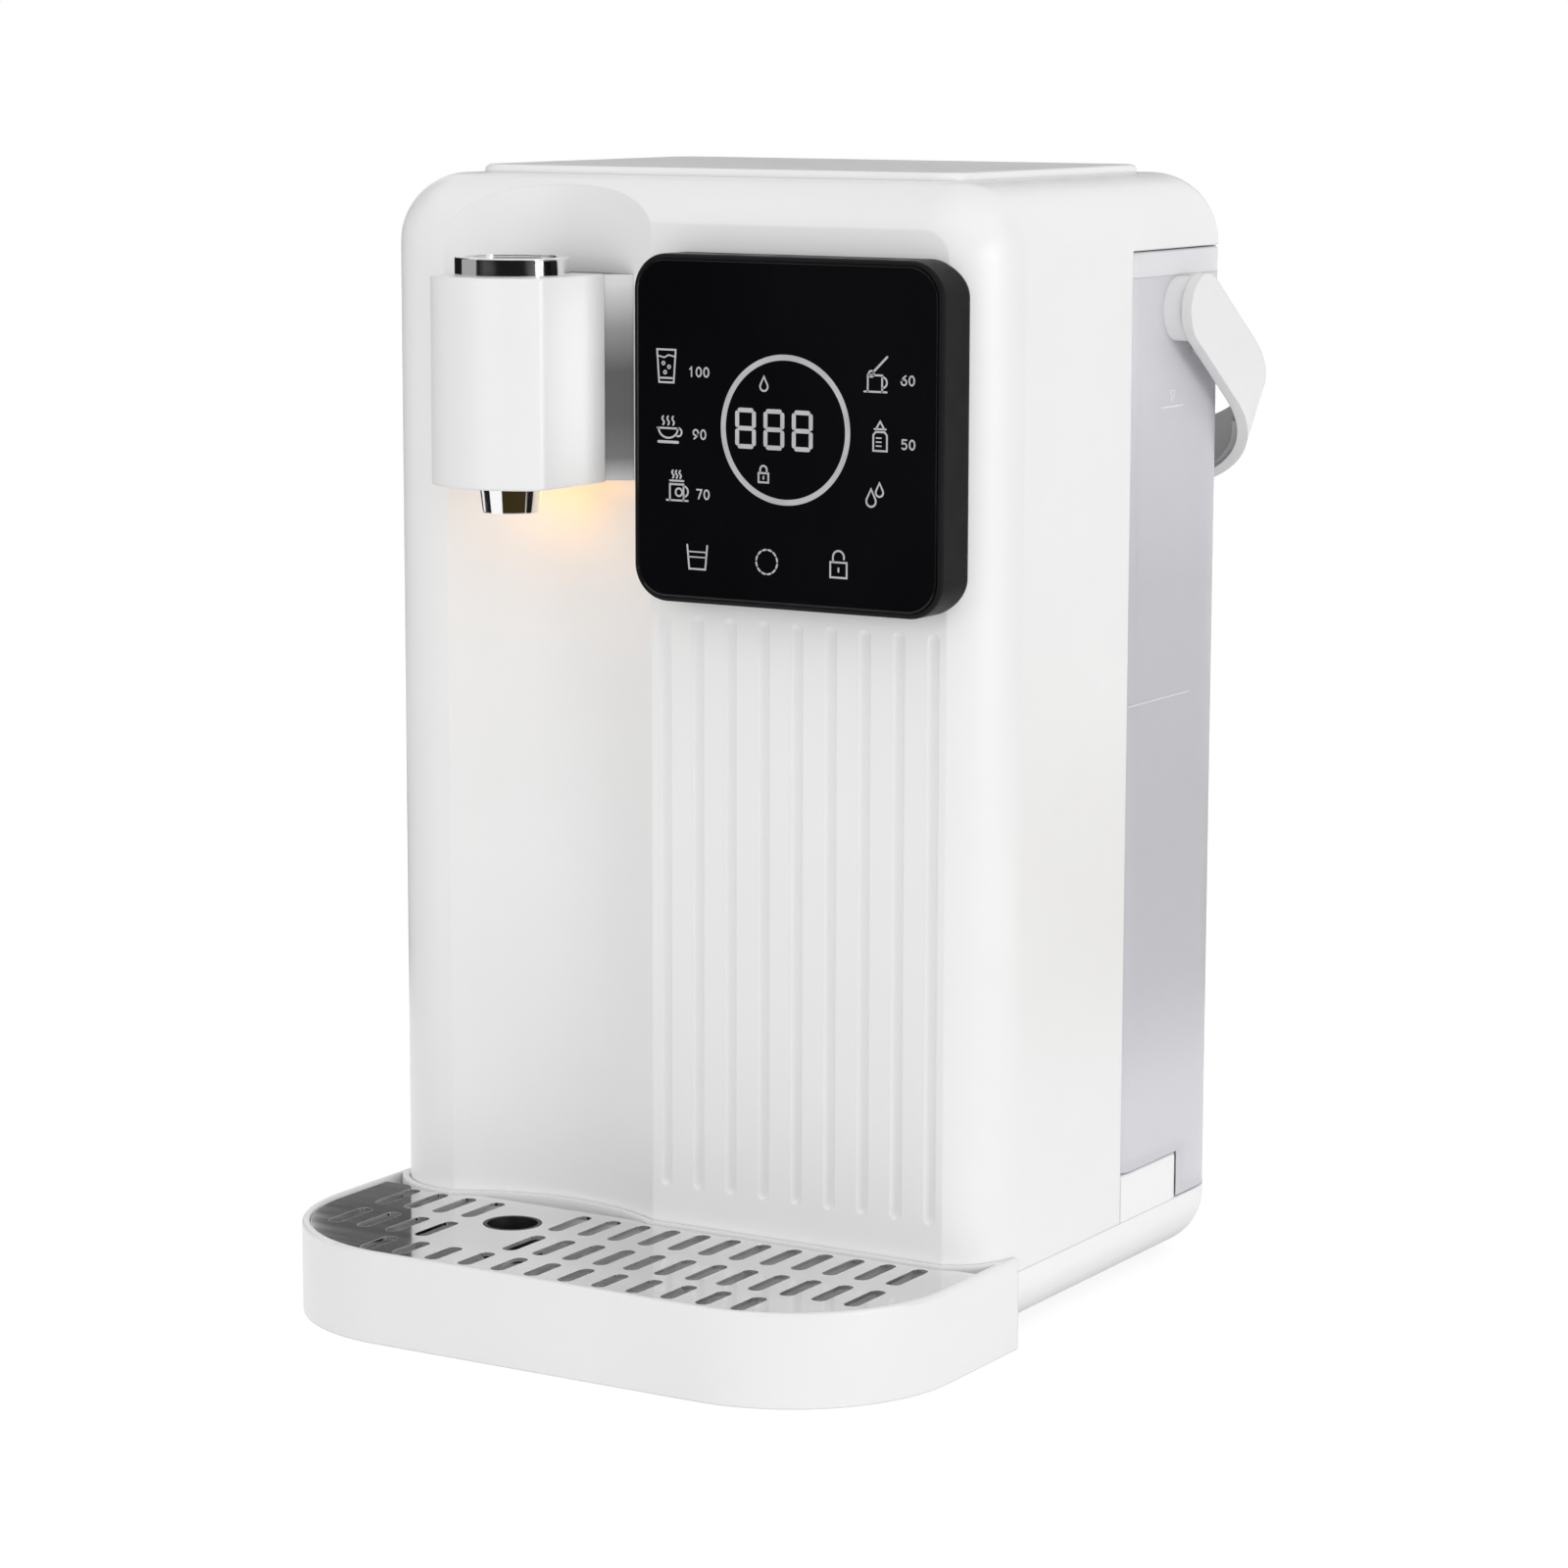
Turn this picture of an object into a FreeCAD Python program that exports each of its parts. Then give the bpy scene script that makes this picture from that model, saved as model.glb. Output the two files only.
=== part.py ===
# Instant hot water dispenser: a housing with a spout niche and a touch panel, a drip tray
# with a steel grille, and a water tank that slides out of the back and has a lifting handle.
# Millimetres. +Z is up and +Y points to the back. The sizes below are measured from the middle
# of the housing's plan; the parts are written with the origin on the table under the middle of
# the whole footprint, from the front of the tray to the back of the handle.

import FreeCAD, Part
import math
import os

os.makedirs("parts", exist_ok=True)
Vector = FreeCAD.Vector

X_AXIS = Vector(1, 0, 0)
Y_AXIS = Vector(0, 1, 0)
Z_AXIS = Vector(0, 0, 1)

# Housing
body_width = 187.0
body_depth = 143.4
rim_height = 298.3
corner_radius = 19.5
top_round = 18.5
wall = 2.4
side_length = 77.8
hood_height = 19.1
recess_depth = 1.4
seat_clearance = 0.3

# Niche behind the spout
niche_side = 56.5
niche_radius = 62.0
niche_depth = 9.5

# Flutes in the front face
flute_pitch = 9.94
flute_margin = 2.53
flute_width = 3.4
flute_depth = 0.9
flute_lift = 16.2
flute_drop = 6.5

# Top cover
cover_rise = 2.1
cover_pocket = 3.0
cover_inset = 1.0
cover_corner = 8.0
cover_skin = 2.2
cover_gap = 0.5

# Base
base_bottom = 2.2
seam_height = 19.6
base_round = 15.0
deck_ledge = 1.7
foot_radius = 7.0
foot_sink = 1.2
foot_inset = 31.5
foot_front_inset = 23.7
foot_rear_inset = 25.7
gland_inset = 35.5
gland_z = 11.4
gland_boss_radius = 7.6
gland_flange_radius = 7.0
gland_outer_radius = 5.5
gland_bore_radius = 3.6
gland_depth = 9.0
vent_count = 7
vent_pitch = 9.0
vent_length = 26.0
vent_width = 3.0

# Bulkhead, bay ceiling and tank cradle
bulkhead_thickness = 2.4
bulkhead_recess = 0.5
panel_fit = 0.2
ceiling_thickness = 2.4
cradle_depth = 40.0
cradle_height = 12.6
cradle_corner = 10.0

# Drip tray and grille
tray_overhang = 1.5
tray_reach = 65.4
tray_wrap = 17.5
tray_corner = 46.0
tray_height = 24.2
tray_wall = 2.0
tray_floor = 2.2
tray_gap = 0.3
tray_edge_round = 0.8
grille_thickness = 1.0
grille_drop = 0.5
grille_gap = 0.3
slot_width = 4.2
slot_pitch = 9.32
front_slot_pitch = 10.27
slots_per_row = 18
slots_in_front_row = 12
drain_radius = 7.9
drain_reach = 19.6
sleeve_wall = 1.1
sleeve_length = 9.0
sleeve_flange_radius = 10.4
sleeve_flange = 1.0
tab_width = 16.0
tab_height = 5.0
tab_bottom = 8.0
tab_length = 9.0
tab_clearance = 0.5
tab_right_inset = 38.5
post_radius = 3.0
post_side = 21.5
post_from_niche = 25.0
post_right_side = 57.5
post_corner_side = 15.5
post_rear_reach = 20.3
post_front_reach = 44.3

# Spout
spout_reach = 18.0
spout_half_width = 17.5
spout_front_offset = 10.6
spout_bulge = 6.9
spout_side_length = 28.5
spout_drop = 24.8
spout_height = 53.9
spout_wall = 2.0
neck_bottom_step = 0.5
neck_top_step = 0.1
neck_inset = 0.4
neck_flare = 6.0
neck_flare_length = 5.0
neck_tongue = 2.8
cap_radius = 14.9
cap_height = 4.7
cap_setback = 1.4
cap_stem_radius = 6.0
cap_stem_length = 4.0
nozzle_tip_radius = 7.3
nozzle_root_radius = 8.2
nozzle_length = 7.0
nozzle_flange_radius = 9.4
nozzle_flange = 1.5
nozzle_bore_radius = 2.5
spigot_radius = 3.5
spigot_length = 8.0
lens_radius = 2.2
lens_setback = 12.1

# Touch panel
frame_from_spout = 14.9
frame_height = 88.7
frame_side = 7.7
frame_drop = 18.5
frame_corner = 9.5
frame_reach = 10.9
glass_lip = 1.5
glass_thickness = 2.0
glass_proud = 0.5
glass_gap = 0.15
mask_thickness = 1.5
board_thickness = 1.6
frame_ledge = 2.5

# Tank
tank_wall = 2.2
tank_front_gap = 0.4
tank_side_gap = 0.3
tank_step_gap = 0.4
tank_front_corner = 6.0
lid_height = 6.7
tank_lid_gap = 0.4
lid_skin = 2.2
lid_plug = 5.0
lid_plug_gap = 0.3

# Tank handle
pivot_from_rear = 38.7
pivot_drop = 8.9
handle_droop = 35.4
handle_reach = 81.3
handle_bend = 52.0
handle_thickness = 3.0
handle_half_band = 9.6
boss_radius = 8.6
boss_length = 5.4
pivot_radius = 4.0
pivot_clearance = 0.06
pad_start = 42.0
pad_thickness = 1.6
pad_margin = 0.5
stop_distance = 13.0
stop_width = 3.0
stop_height = 4.0

# Tank valve and socket
valve_side = 43.5
valve_lift = 13.8
barrel_radius = 8.0
barrel_reach = 10.5
chamber_radius = 5.0
chamber_wall = 1.5
valve_inlet_radius = 3.4
valve_outlet_radius = 2.6
valve_flange_radius = 11.0
valve_flange = 2.5
seal_section = 1.0
seal_clearance = 0.05
poppet_radius = 4.4
poppet_thickness = 1.8
spring_radius = 3.3
spring_wire = 0.5
spring_turns = 5
strainer_length = 9.0
strainer_skin = 1.2
socket_wall = 2.4
socket_end = 2.0
socket_flange_radius = 15.0

# Water path
hose_wall = 2.0
hose_bend = 9.5
pump_side_step = 39.0
sensor_from_pump = 39.0
pump_setback = 39.2
pump_head_size = 30.0
pump_head_height = 32.0
pump_foot_height = 7.4
pump_plate = 2.0
motor_radius = 14.0
motor_length = 46.0
sensor_length = 26.0
sensor_height = 20.0
heater_side = 53.5
heater_setback = 31.2
heater_radius = 23.0
heater_bottom = 118.0
heater_drop = 68.3
heater_cap = 6.0
bracket_band = 2.5
bracket_height = 12.0
hose_drop = 36.3
hose_under_heater = 26.0

# Power board
board_side = 13.5
board_width = 60.0
board_low = 112.0
board_height = 124.0
component_unit = 2.0
spacer_length = 7.0
spacer_radius = 3.0

# Screws
screw_radius = 1.5
screw_head_radius = 2.9
screw_head = 2.0
screw_clearance = 0.2
thread_bite = 8.0
boss_wall = 2.6
pilot_clearance = 0.05

# Places that follow from the sizes above
half_width = body_width / 2
front = -body_depth / 2
rear = body_depth / 2
side_rear = front + side_length
hood_bottom = rim_height - hood_height
niche_x = -half_width + niche_side
niche_axis_y = front + niche_depth - niche_radius
recess_floor = front + recess_depth
inner_half = half_width - wall
bulkhead_rear = side_rear - bulkhead_recess
bulkhead_front = bulkhead_rear - bulkhead_thickness
ceiling_bottom = hood_bottom + seat_clearance
ceiling_top = ceiling_bottom + ceiling_thickness
pocket_floor = rim_height - cover_pocket
pocket_underside = pocket_floor - wall
cover_half_x = half_width - top_round - cover_inset
cover_half_y = body_depth / 2 - top_round - cover_inset
cover_top = rim_height + cover_rise
base_floor = base_bottom + wall
cradle_front = side_rear + seat_clearance
cradle_rear = cradle_front + cradle_depth
cradle_top = seam_height + cradle_height


def box(x0, x1, y0, y1, z0, z1):
    return Part.makeBox(x1 - x0, y1 - y0, z1 - z0, Vector(x0, y0, z0))


def rod(x, y, z, radius, length, axis=Z_AXIS):
    """Solid round bar that starts at a point and runs along an axis."""
    return Part.makeCylinder(radius, length, Vector(x, y, z), axis)


def tube(x, y, z, outer_radius, inner_radius, length, axis=Z_AXIS):
    return rod(x, y, z, outer_radius, length, axis).cut(rod(x, y, z, inner_radius, length, axis))


def fuse(shapes):
    result = shapes[0]
    if len(shapes) > 1:
        result = result.fuse(shapes[1:])
    return result.removeSplitter()


def cut(shape, tools):
    return shape.cut(Part.makeCompound(tools))


def export(name, *solids):
    shape = solids[0] if len(solids) == 1 else Part.makeCompound(list(solids))
    shape.translate(Vector(0, -footprint_middle, 0))
    shape.exportStep("parts/" + name + ".step")


def corner_arc(centre, radius, start_degrees):
    """Quarter arc in plan, counter-clockwise from the start angle."""
    points = []
    for step in (0, 45, 90):
        angle = math.radians(start_degrees + step)
        points.append(centre + Vector(radius * math.cos(angle), radius * math.sin(angle), 0))
    return Part.Arc(*points).toShape()


def plan_solid(x0, x1, y0, y1, z0, z1, front_radius, rear_radius):
    """Upright block whose plan is a rectangle with its own front and rear corner radii."""
    corners = [
        (x1, y0, -1, 1, front_radius, -90),
        (x1, y1, -1, -1, rear_radius, 0),
        (x0, y1, 1, -1, rear_radius, 90),
        (x0, y0, 1, 1, front_radius, 180),
    ]
    edges = []
    ends = []
    for x, y, side_x, side_y, radius, start in corners:
        if radius > 0:
            centre = Vector(x + side_x * radius, y + side_y * radius, z0)
            arc = corner_arc(centre, radius, start)
            edges.append(arc)
            first = centre + radius * Vector(math.cos(math.radians(start)), math.sin(math.radians(start)), 0)
            last_angle = math.radians(start + 90)
            last = centre + radius * Vector(math.cos(last_angle), math.sin(last_angle), 0)
            ends.append((first, last))
        else:
            ends.append((Vector(x, y, z0), Vector(x, y, z0)))
    for index in range(4):
        begin = ends[index][1]
        finish = ends[(index + 1) % 4][0]
        edges.append(Part.LineSegment(begin, finish).toShape())
    outline = Part.Wire(Part.sortEdges(edges)[0])
    return Part.Face(outline).extrude(Vector(0, 0, z1 - z0))


def upright_panel(x0, x1, z0, z1, y0, y1, radius):
    """Plate that stands facing the front, with rounded corners, from y0 back to y1."""
    plate = plan_solid(x0, x1, -z1, -z0, 0, y1 - y0, radius, radius)
    plate.rotate(Vector(0, 0, 0), X_AXIS, -90)
    plate.translate(Vector(0, y0, 0))
    return plate


def edges_at_height(shape, height):
    level = []
    for edge in shape.Edges:
        bounds = edge.BoundBox
        if abs(bounds.ZMin - height) < 1e-4 and abs(bounds.ZMax - height) < 1e-4:
            level.append(edge)
    return level


def body_block(inset, z0, z1, round_radius):
    """The housing's outer block, or one inset by a wall, rounded along its top edge."""
    radius = corner_radius - inset
    block = plan_solid(
        -half_width + inset, half_width - inset, front + inset, rear - inset, z0, z1, radius, radius
    )
    return block.makeFillet(round_radius, edges_at_height(block, z1))


def front_relief(z0, z1, offset):
    """The niche and the flat recess of the front face, pushed out or in by an offset."""
    niche = rod(niche_x, niche_axis_y, z0, niche_radius + offset, z1 - z0)
    recess = box(niche_x, body_width, front - top_round, recess_floor + offset, z0, z1)
    return [niche, recess]


def slot_prism(x, y0, y1, width, z0, z1):
    """Slot with round ends that runs along Y."""
    radius = width / 2
    return plan_solid(x - radius, x + radius, y0, y1, z0, z1, radius - 1e-3, radius - 1e-3)


def boss(x, y, z, length, axis=Z_AXIS):
    """Screw boss with a pilot hole for its full length."""
    radius = screw_radius + boss_wall
    return tube(x, y, z, radius, screw_radius + pilot_clearance, length, axis)


def pan_screw(x, y, z, length, axis):
    """Screw whose head's underside is at the point and whose shank runs along the axis."""
    head = rod(x, y, z, screw_head_radius, screw_head, axis * -1)
    head = head.makeFillet(screw_head * 0.35, [far_circle(head, Vector(x, y, z))])
    return fuse([head, rod(x, y, z, screw_radius, length, axis)])


def far_circle(shape, point):
    """The round edge whose centre lies furthest from a point."""
    circles = [edge for edge in shape.Edges if hasattr(edge.Curve, "Radius")]
    return max(circles, key=lambda edge: (edge.Curve.Center - point).Length)


def countersunk_screw(x, y, z, length, axis, head_depth):
    """Screw with a flat conical head that ends flush at the point."""
    head = Part.makeCone(screw_head_radius, screw_radius, head_depth, Vector(x, y, z), axis)
    return fuse([head, rod(x, y, z, screw_radius, length, axis)])


def countersink(x, y, z, axis, head_depth):
    spare = pilot_clearance
    radius = screw_head_radius + spare
    cone = Part.makeCone(radius, screw_radius + spare, head_depth, Vector(x, y, z), axis)
    return fuse([cone, rod(x, y, z, screw_radius + spare, wall * 3, axis)])


def route_edges(points, bend):
    """Straight runs joined by tangent arcs through a list of corner points."""
    edges = []
    start = points[0]
    for index in range(1, len(points) - 1):
        corner = points[index]
        before = (points[index - 1] - corner).normalize()
        after = (points[index + 1] - corner).normalize()
        half_turn = (math.pi - before.getAngle(after)) / 2
        trim = bend * math.tan(half_turn)
        leave = corner + before * trim
        join = corner + after * trim
        bisector = (before + after).normalize()
        centre = corner + bisector * (bend / math.cos(half_turn))
        middle = centre - bisector * bend
        edges.append(Part.LineSegment(start, leave).toShape())
        edges.append(Part.Arc(leave, middle, join).toShape())
        start = join
    edges.append(Part.LineSegment(start, points[-1]).toShape())
    return edges


def hose(points, inner_radius):
    """Hose along a route, open at both ends."""
    path = Part.Wire(route_edges(points, hose_bend))
    direction = points[1] - points[0]
    shells = []
    for radius in (inner_radius + hose_wall, inner_radius):
        section = Part.Wire(Part.makeCircle(radius, points[0], direction))
        shells.append(path.makePipeShell([section], True, True))
    return shells[0].cut(shells[1])


def housing_bosses():
    """Bosses that the base, the bulkhead and the bay ceiling are screwed to."""
    pieces = []
    rib_length = inner_half - base_screw_x
    for side in (-1, 1):
        for y in base_screw_rows:
            x = side * base_screw_x
            pieces.append(boss(x, y, seam_height, base_boss_height))
            rib_start = min(x + side * screw_radius * 2, x + side * (rib_length + wall / 2))
            rib_end = max(x + side * screw_radius * 2, x + side * (rib_length + wall / 2))
            pieces.append(box(rib_start, rib_end, y - 1, y + 1, seam_height, seam_height + base_boss_height))
        for z in bulkhead_screw_rows:
            length = side_boss_length
            pieces.append(boss(side * bulkhead_screw_x, bulkhead_front - length, z, length, Y_AXIS))
        for y in ceiling_screw_rows:
            pieces.append(boss(side * ceiling_screw_x, y, ceiling_top, pocket_underside + 0.5 - ceiling_top))
    return pieces


def make_flutes():
    """Upright rounded grooves in the front face, with round ends."""
    radius = ((flute_width / 2) ** 2 + flute_depth ** 2) / (2 * flute_depth)
    axis_y = recess_floor + flute_depth - radius
    grooves = []
    for index in range(flute_count):
        x = flute_first_x + index * flute_pitch
        groove = rod(x, axis_y, flute_bottom, radius, flute_top - flute_bottom)
        ends = [Part.makeSphere(radius, Vector(x, axis_y, z)) for z in (flute_bottom, flute_top)]
        grooves.append(fuse([groove] + ends))
    return grooves


def cover_clip_places():
    return [(x, y) for x in (-cover_clip_x, cover_clip_x) for y in (-cover_clip_y, cover_clip_y)]


def make_housing():
    outer = cut(body_block(0, seam_height, rim_height, top_round), front_relief(0, rim_height + wall, 0))
    inner = body_block(wall, seam_height - wall, rim_height - wall, top_round - wall)
    inner = cut(inner, front_relief(0, rim_height + wall, wall))
    lid_support = plan_solid(
        -cover_half_x - wall, cover_half_x + wall, -cover_half_y - wall, cover_half_y + wall,
        pocket_underside, rim_height, cover_corner, cover_corner,
    )
    inner = inner.cut(lid_support)
    bay = box(-body_width, body_width, side_rear, body_depth, seam_height - wall, hood_bottom)
    pocket = plan_solid(
        -cover_half_x - cover_gap, cover_half_x + cover_gap,
        -cover_half_y - cover_gap, cover_half_y + cover_gap,
        pocket_floor, rim_height + wall, cover_corner + cover_gap, cover_corner + cover_gap,
    )
    clip_holes = []
    for x, y in cover_clip_places():
        spare = tab_clearance
        clip_holes.append(box(
            x - cover_clip_width / 2 - spare, x + cover_clip_width / 2 + spare,
            y - cover_clip_thickness / 2 - spare, y + cover_clip_thickness / 2 + spare,
            pocket_underside - wall, pocket_floor + wall,
        ))
    hose_hole = rod(
        niche_x, niche_axis_y + niche_radius - niche_depth, hose_over_z, hose_hole_radius,
        niche_depth + wall * 2, Y_AXIS,
    )
    ribbon_hole = box(
        frame_centre_x - ribbon_hole_width / 2, frame_centre_x + ribbon_hole_width / 2,
        recess_floor - wall, recess_floor + wall * 2,
        frame_centre_z - ribbon_hole_height / 2, frame_centre_z + ribbon_hole_height / 2,
    )
    screw_holes = []
    for x, z in panel_screw_places() + neck_screw_places():
        screw_holes.append(rod(x, front - wall, z, screw_radius + screw_clearance, niche_depth + wall * 3, Y_AXIS))
    shell = cut(outer, [inner, bay, pocket, hose_hole, ribbon_hole] + clip_holes + screw_holes + make_flutes())
    inside = outer.cut(bay)
    bosses = [piece.common(inside) for piece in housing_bosses()]
    return fuse([shell] + bosses)


def make_top_cover():
    plate = plan_solid(
        -cover_half_x, cover_half_x, -cover_half_y, cover_half_y, pocket_floor, cover_top,
        cover_corner, cover_corner,
    )
    plate = plate.makeFillet(cover_edge_round, edges_at_height(plate, cover_top))
    hollow = plan_solid(
        -cover_half_x + cover_skin, cover_half_x - cover_skin,
        -cover_half_y + cover_skin, cover_half_y - cover_skin,
        pocket_floor, cover_top - cover_skin, cover_corner - cover_skin, cover_corner - cover_skin,
    )
    clips = []
    for x, y in cover_clip_places():
        clips.append(box(
            x - cover_clip_width / 2, x + cover_clip_width / 2,
            y - cover_clip_thickness / 2, y + cover_clip_thickness / 2,
            pocket_underside - cover_clip_reach, cover_top - cover_skin / 2,
        ))
        outward = 1 if y > 0 else -1
        barb_start = y + outward * cover_clip_thickness / 2
        barb_top = pocket_underside - seat_clearance
        profile = [
            Vector(x - cover_clip_width / 2, barb_start, barb_top),
            Vector(x - cover_clip_width / 2, barb_start + outward * cover_clip_barb, barb_top),
            Vector(x - cover_clip_width / 2, barb_start, pocket_underside - cover_clip_reach),
        ]
        barb = Part.Face(Part.makePolygon(profile + [profile[0]]))
        clips.append(barb.extrude(Vector(cover_clip_width, 0, 0)))
    return fuse([plate.cut(hollow)] + clips)


def make_base():
    outer = plan_solid(-half_width, half_width, front, rear, base_bottom, seam_height, corner_radius, corner_radius)
    outer = outer.makeFillet(base_round, edges_at_height(outer, base_bottom))
    outer = cut(outer, front_relief(0, seam_height + wall, 0))
    radius = corner_radius - wall
    inner = plan_solid(
        -half_width + wall, half_width - wall, front + wall, rear - wall,
        base_floor, seam_height + wall, radius, radius,
    )
    inner = inner.makeFillet(base_round - wall, edges_at_height(inner, base_floor))
    inner = cut(inner, front_relief(0, seam_height + wall * 2, wall))
    deck = box(-body_width, body_width, deck_front, body_depth, seam_height - wall, seam_height + wall * 2)
    inner = inner.cut(deck)
    shell = outer.cut(inner)
    towers = []
    holes = []
    for x, y in base_screw_places():
        towers.append(rod(x, y, base_bottom + 0.5, screw_head_radius + boss_wall, seam_height - base_bottom - 0.5))
        holes.append(rod(x, y, 0, screw_head_radius + screw_clearance, base_screw_seat))
        holes.append(rod(x, y, 0, screw_radius + screw_clearance, seam_height + wall))
    for x, y in cradle_screw_places():
        towers.append(rod(x, y, base_bottom + 0.5, screw_head_radius + boss_wall, seam_height - wall - base_bottom))
        holes.append(rod(x, y, 0, screw_head_radius + screw_clearance, base_screw_seat))
        holes.append(rod(x, y, 0, screw_radius + screw_clearance, seam_height + wall))
    gland_boss = rod(gland_x, rear - gland_depth, gland_z, gland_boss_radius, gland_depth, Y_AXIS)
    gland_boss = gland_boss.common(body_block(0, base_bottom, rim_height, top_round))
    holes.append(rod(gland_x, rear - gland_depth * 2, gland_z, gland_outer_radius, gland_depth * 3, Y_AXIS))
    for x, y in foot_places():
        holes.append(rod(x, y, 0, foot_radius, base_bottom + foot_sink))
    for x in tab_places():
        spare = tab_clearance
        holes.append(box(
            x - tab_width / 2 - spare, x + tab_width / 2 + spare,
            front - wall, recess_floor + niche_depth + wall * 2,
            tab_bottom - spare, tab_bottom + tab_height + spare,
        ))
    for index in range(vent_count):
        x = (index - (vent_count - 1) / 2) * vent_pitch
        holes.append(slot_prism(x, -vent_length / 2, vent_length / 2, vent_width, 0, base_floor + wall / 2))
    return cut(fuse([shell, gland_boss] + towers), holes)


def make_gland():
    """Bushing in the rear wall that a mains cord would pass through."""
    body = rod(gland_x, rear - gland_depth, gland_z, gland_outer_radius, gland_depth, Y_AXIS)
    flange = rod(gland_x, rear, gland_z, gland_flange_radius, gland_flange, Y_AXIS)
    rim = far_circle(flange, Vector(gland_x, rear - gland_depth, gland_z))
    flange = flange.makeFillet(gland_flange * 0.4, [rim])
    bore = rod(gland_x, rear - gland_depth * 2, gland_z, gland_bore_radius, gland_depth * 4, Y_AXIS)
    return fuse([body, flange]).cut(bore)


def make_feet():
    feet = []
    for x, y in foot_places():
        foot = rod(x, y, 0, foot_radius, base_bottom + foot_sink)
        feet.append(foot.makeFillet(foot_edge_round, edges_at_height(foot, 0)))
    return feet


def make_cradle():
    outer = plan_solid(
        -half_width, half_width, cradle_front, cradle_rear, seam_height, cradle_top, 0, cradle_corner,
    )
    outer = outer.makeFillet(cradle_edge_round, edges_at_height(outer, cradle_top))
    inner = plan_solid(
        -half_width + wall, half_width - wall, cradle_front + wall, cradle_rear - wall,
        seam_height, cradle_top - wall, 0, cradle_corner - wall,
    )
    bosses = [boss(x, y, seam_height, cradle_height - wall / 2) for x, y in cradle_screw_places()]
    return fuse([outer.cut(inner)] + bosses)


def make_bulkhead():
    edge = inner_half - panel_fit
    plate = box(-edge, edge, bulkhead_front, bulkhead_rear, seam_height, ceiling_top)
    holes = [rod(valve_x, bulkhead_front - wall, valve_z, socket_outer_radius + pilot_clearance, wall * 3, Y_AXIS)]
    for x, z in bulkhead_screw_places():
        holes.append(countersink(x, bulkhead_rear, z, Y_AXIS * -1, countersunk_depth))
    for x, z in spacer_places():
        holes.append(rod(x, bulkhead_front - wall, z, screw_radius + pilot_clearance, wall * 3, Y_AXIS))
    return cut(plate, holes)


def make_bay_ceiling():
    edge = inner_half - panel_fit
    radius = corner_radius - wall - panel_fit
    plate = plan_solid(
        -edge, edge, bulkhead_rear, rear - wall - panel_fit, ceiling_bottom, ceiling_top, 0, radius,
    )
    holes = [countersink(x, y, ceiling_bottom, Z_AXIS, countersunk_depth) for x, y in ceiling_screw_places()]
    return cut(plate, holes)


def tray_body_clearance(gap):
    """The room that the housing and base take at the back of the tray."""
    radius = corner_radius + gap
    block = plan_solid(
        -half_width - gap, half_width + gap, front - gap, rear + gap, -1, tray_height + wall, radius, radius,
    )
    return cut(block, front_relief(-2, tray_height + wall * 2, -gap))


def tray_plan(inset, z0, z1):
    half = tray_width / 2 - inset
    return plan_solid(-half, half, tray_front + inset, tray_wing_rear, z0, z1, tray_corner - inset, 0)


def tray_tabs():
    tabs = []
    for x in tab_places():
        start = front - tray_gap - tray_wall
        length = tab_length + tray_gap + tray_wall
        if x < 0:
            start += niche_depth
        tabs.append(box(x - tab_width / 2, x + tab_width / 2, start, start + length, tab_bottom, tab_bottom + tab_height))
    return tabs


def make_tray():
    block = tray_plan(0, 0, tray_height)
    rim = []
    for edge in edges_at_height(block, tray_height):
        if edge.BoundBox.YMin < tray_wing_rear - 1e-3:
            rim.append(edge)
    outer = block.makeFillet(tray_edge_round, rim).cut(tray_body_clearance(tray_gap))
    inside_edge = tray_plan(tray_wall, tray_floor, tray_height + wall).cut(tray_body_clearance(tray_gap + tray_wall))
    posts = []
    for x, y in tray_post_places():
        posts.append(rod(x, y, tray_floor - tray_floor / 2, post_radius, grille_underside - tray_floor / 2))
    tabs = [tab.cut(inside_edge) for tab in tray_tabs()]
    return fuse([outer.cut(inside_edge)] + [post.common(outer) for post in posts] + tabs)


def slot_rows():
    """Each row of slots: middle y, length, pitch, count and middle x."""
    return [
        (row_rear_y, rear_slot_length, slot_pitch, slots_per_row, rear_slot_shift),
        (row_middle_y, middle_slot_length, slot_pitch, slots_per_row, middle_slot_shift),
        (row_front_y, front_slot_length, front_slot_pitch, slots_in_front_row, front_slot_shift),
    ]


def make_grille():
    inset = tray_wall + grille_gap
    plate = tray_plan(inset, grille_underside, grille_top)
    plate = plate.cut(tray_body_clearance(tray_gap + tray_wall + grille_gap))
    plate = plate.cut(box(-body_width, body_width, grille_wing_y, 0, 0, tray_height))
    holes = [rod(niche_x, drain_y, 0, drain_radius, tray_height)]
    for middle_y, length, pitch, count, middle_x in slot_rows():
        for index in range(count):
            x = middle_x + (index - (count - 1) / 2) * pitch
            near_drain = abs(x - niche_x) < pitch and abs(middle_y - drain_y) < drain_radius + length / 2
            if not near_drain:
                holes.append(slot_prism(x, middle_y - length / 2, middle_y + length / 2, slot_width, 0, tray_height))
    return cut(plate, holes)


def make_drain_sleeve():
    """Black sleeve that lines the grille's drain hole and hangs below it."""
    outer_radius = drain_radius - pilot_clearance
    bottom = grille_top - sleeve_length
    barrel = rod(niche_x, drain_y, bottom, outer_radius, sleeve_length)
    flange = rod(niche_x, drain_y, grille_underside - sleeve_flange, sleeve_flange_radius, sleeve_flange)
    return fuse([barrel, flange]).cut(rod(niche_x, drain_y, bottom - 1, outer_radius - sleeve_wall, sleeve_length + 2))


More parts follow.
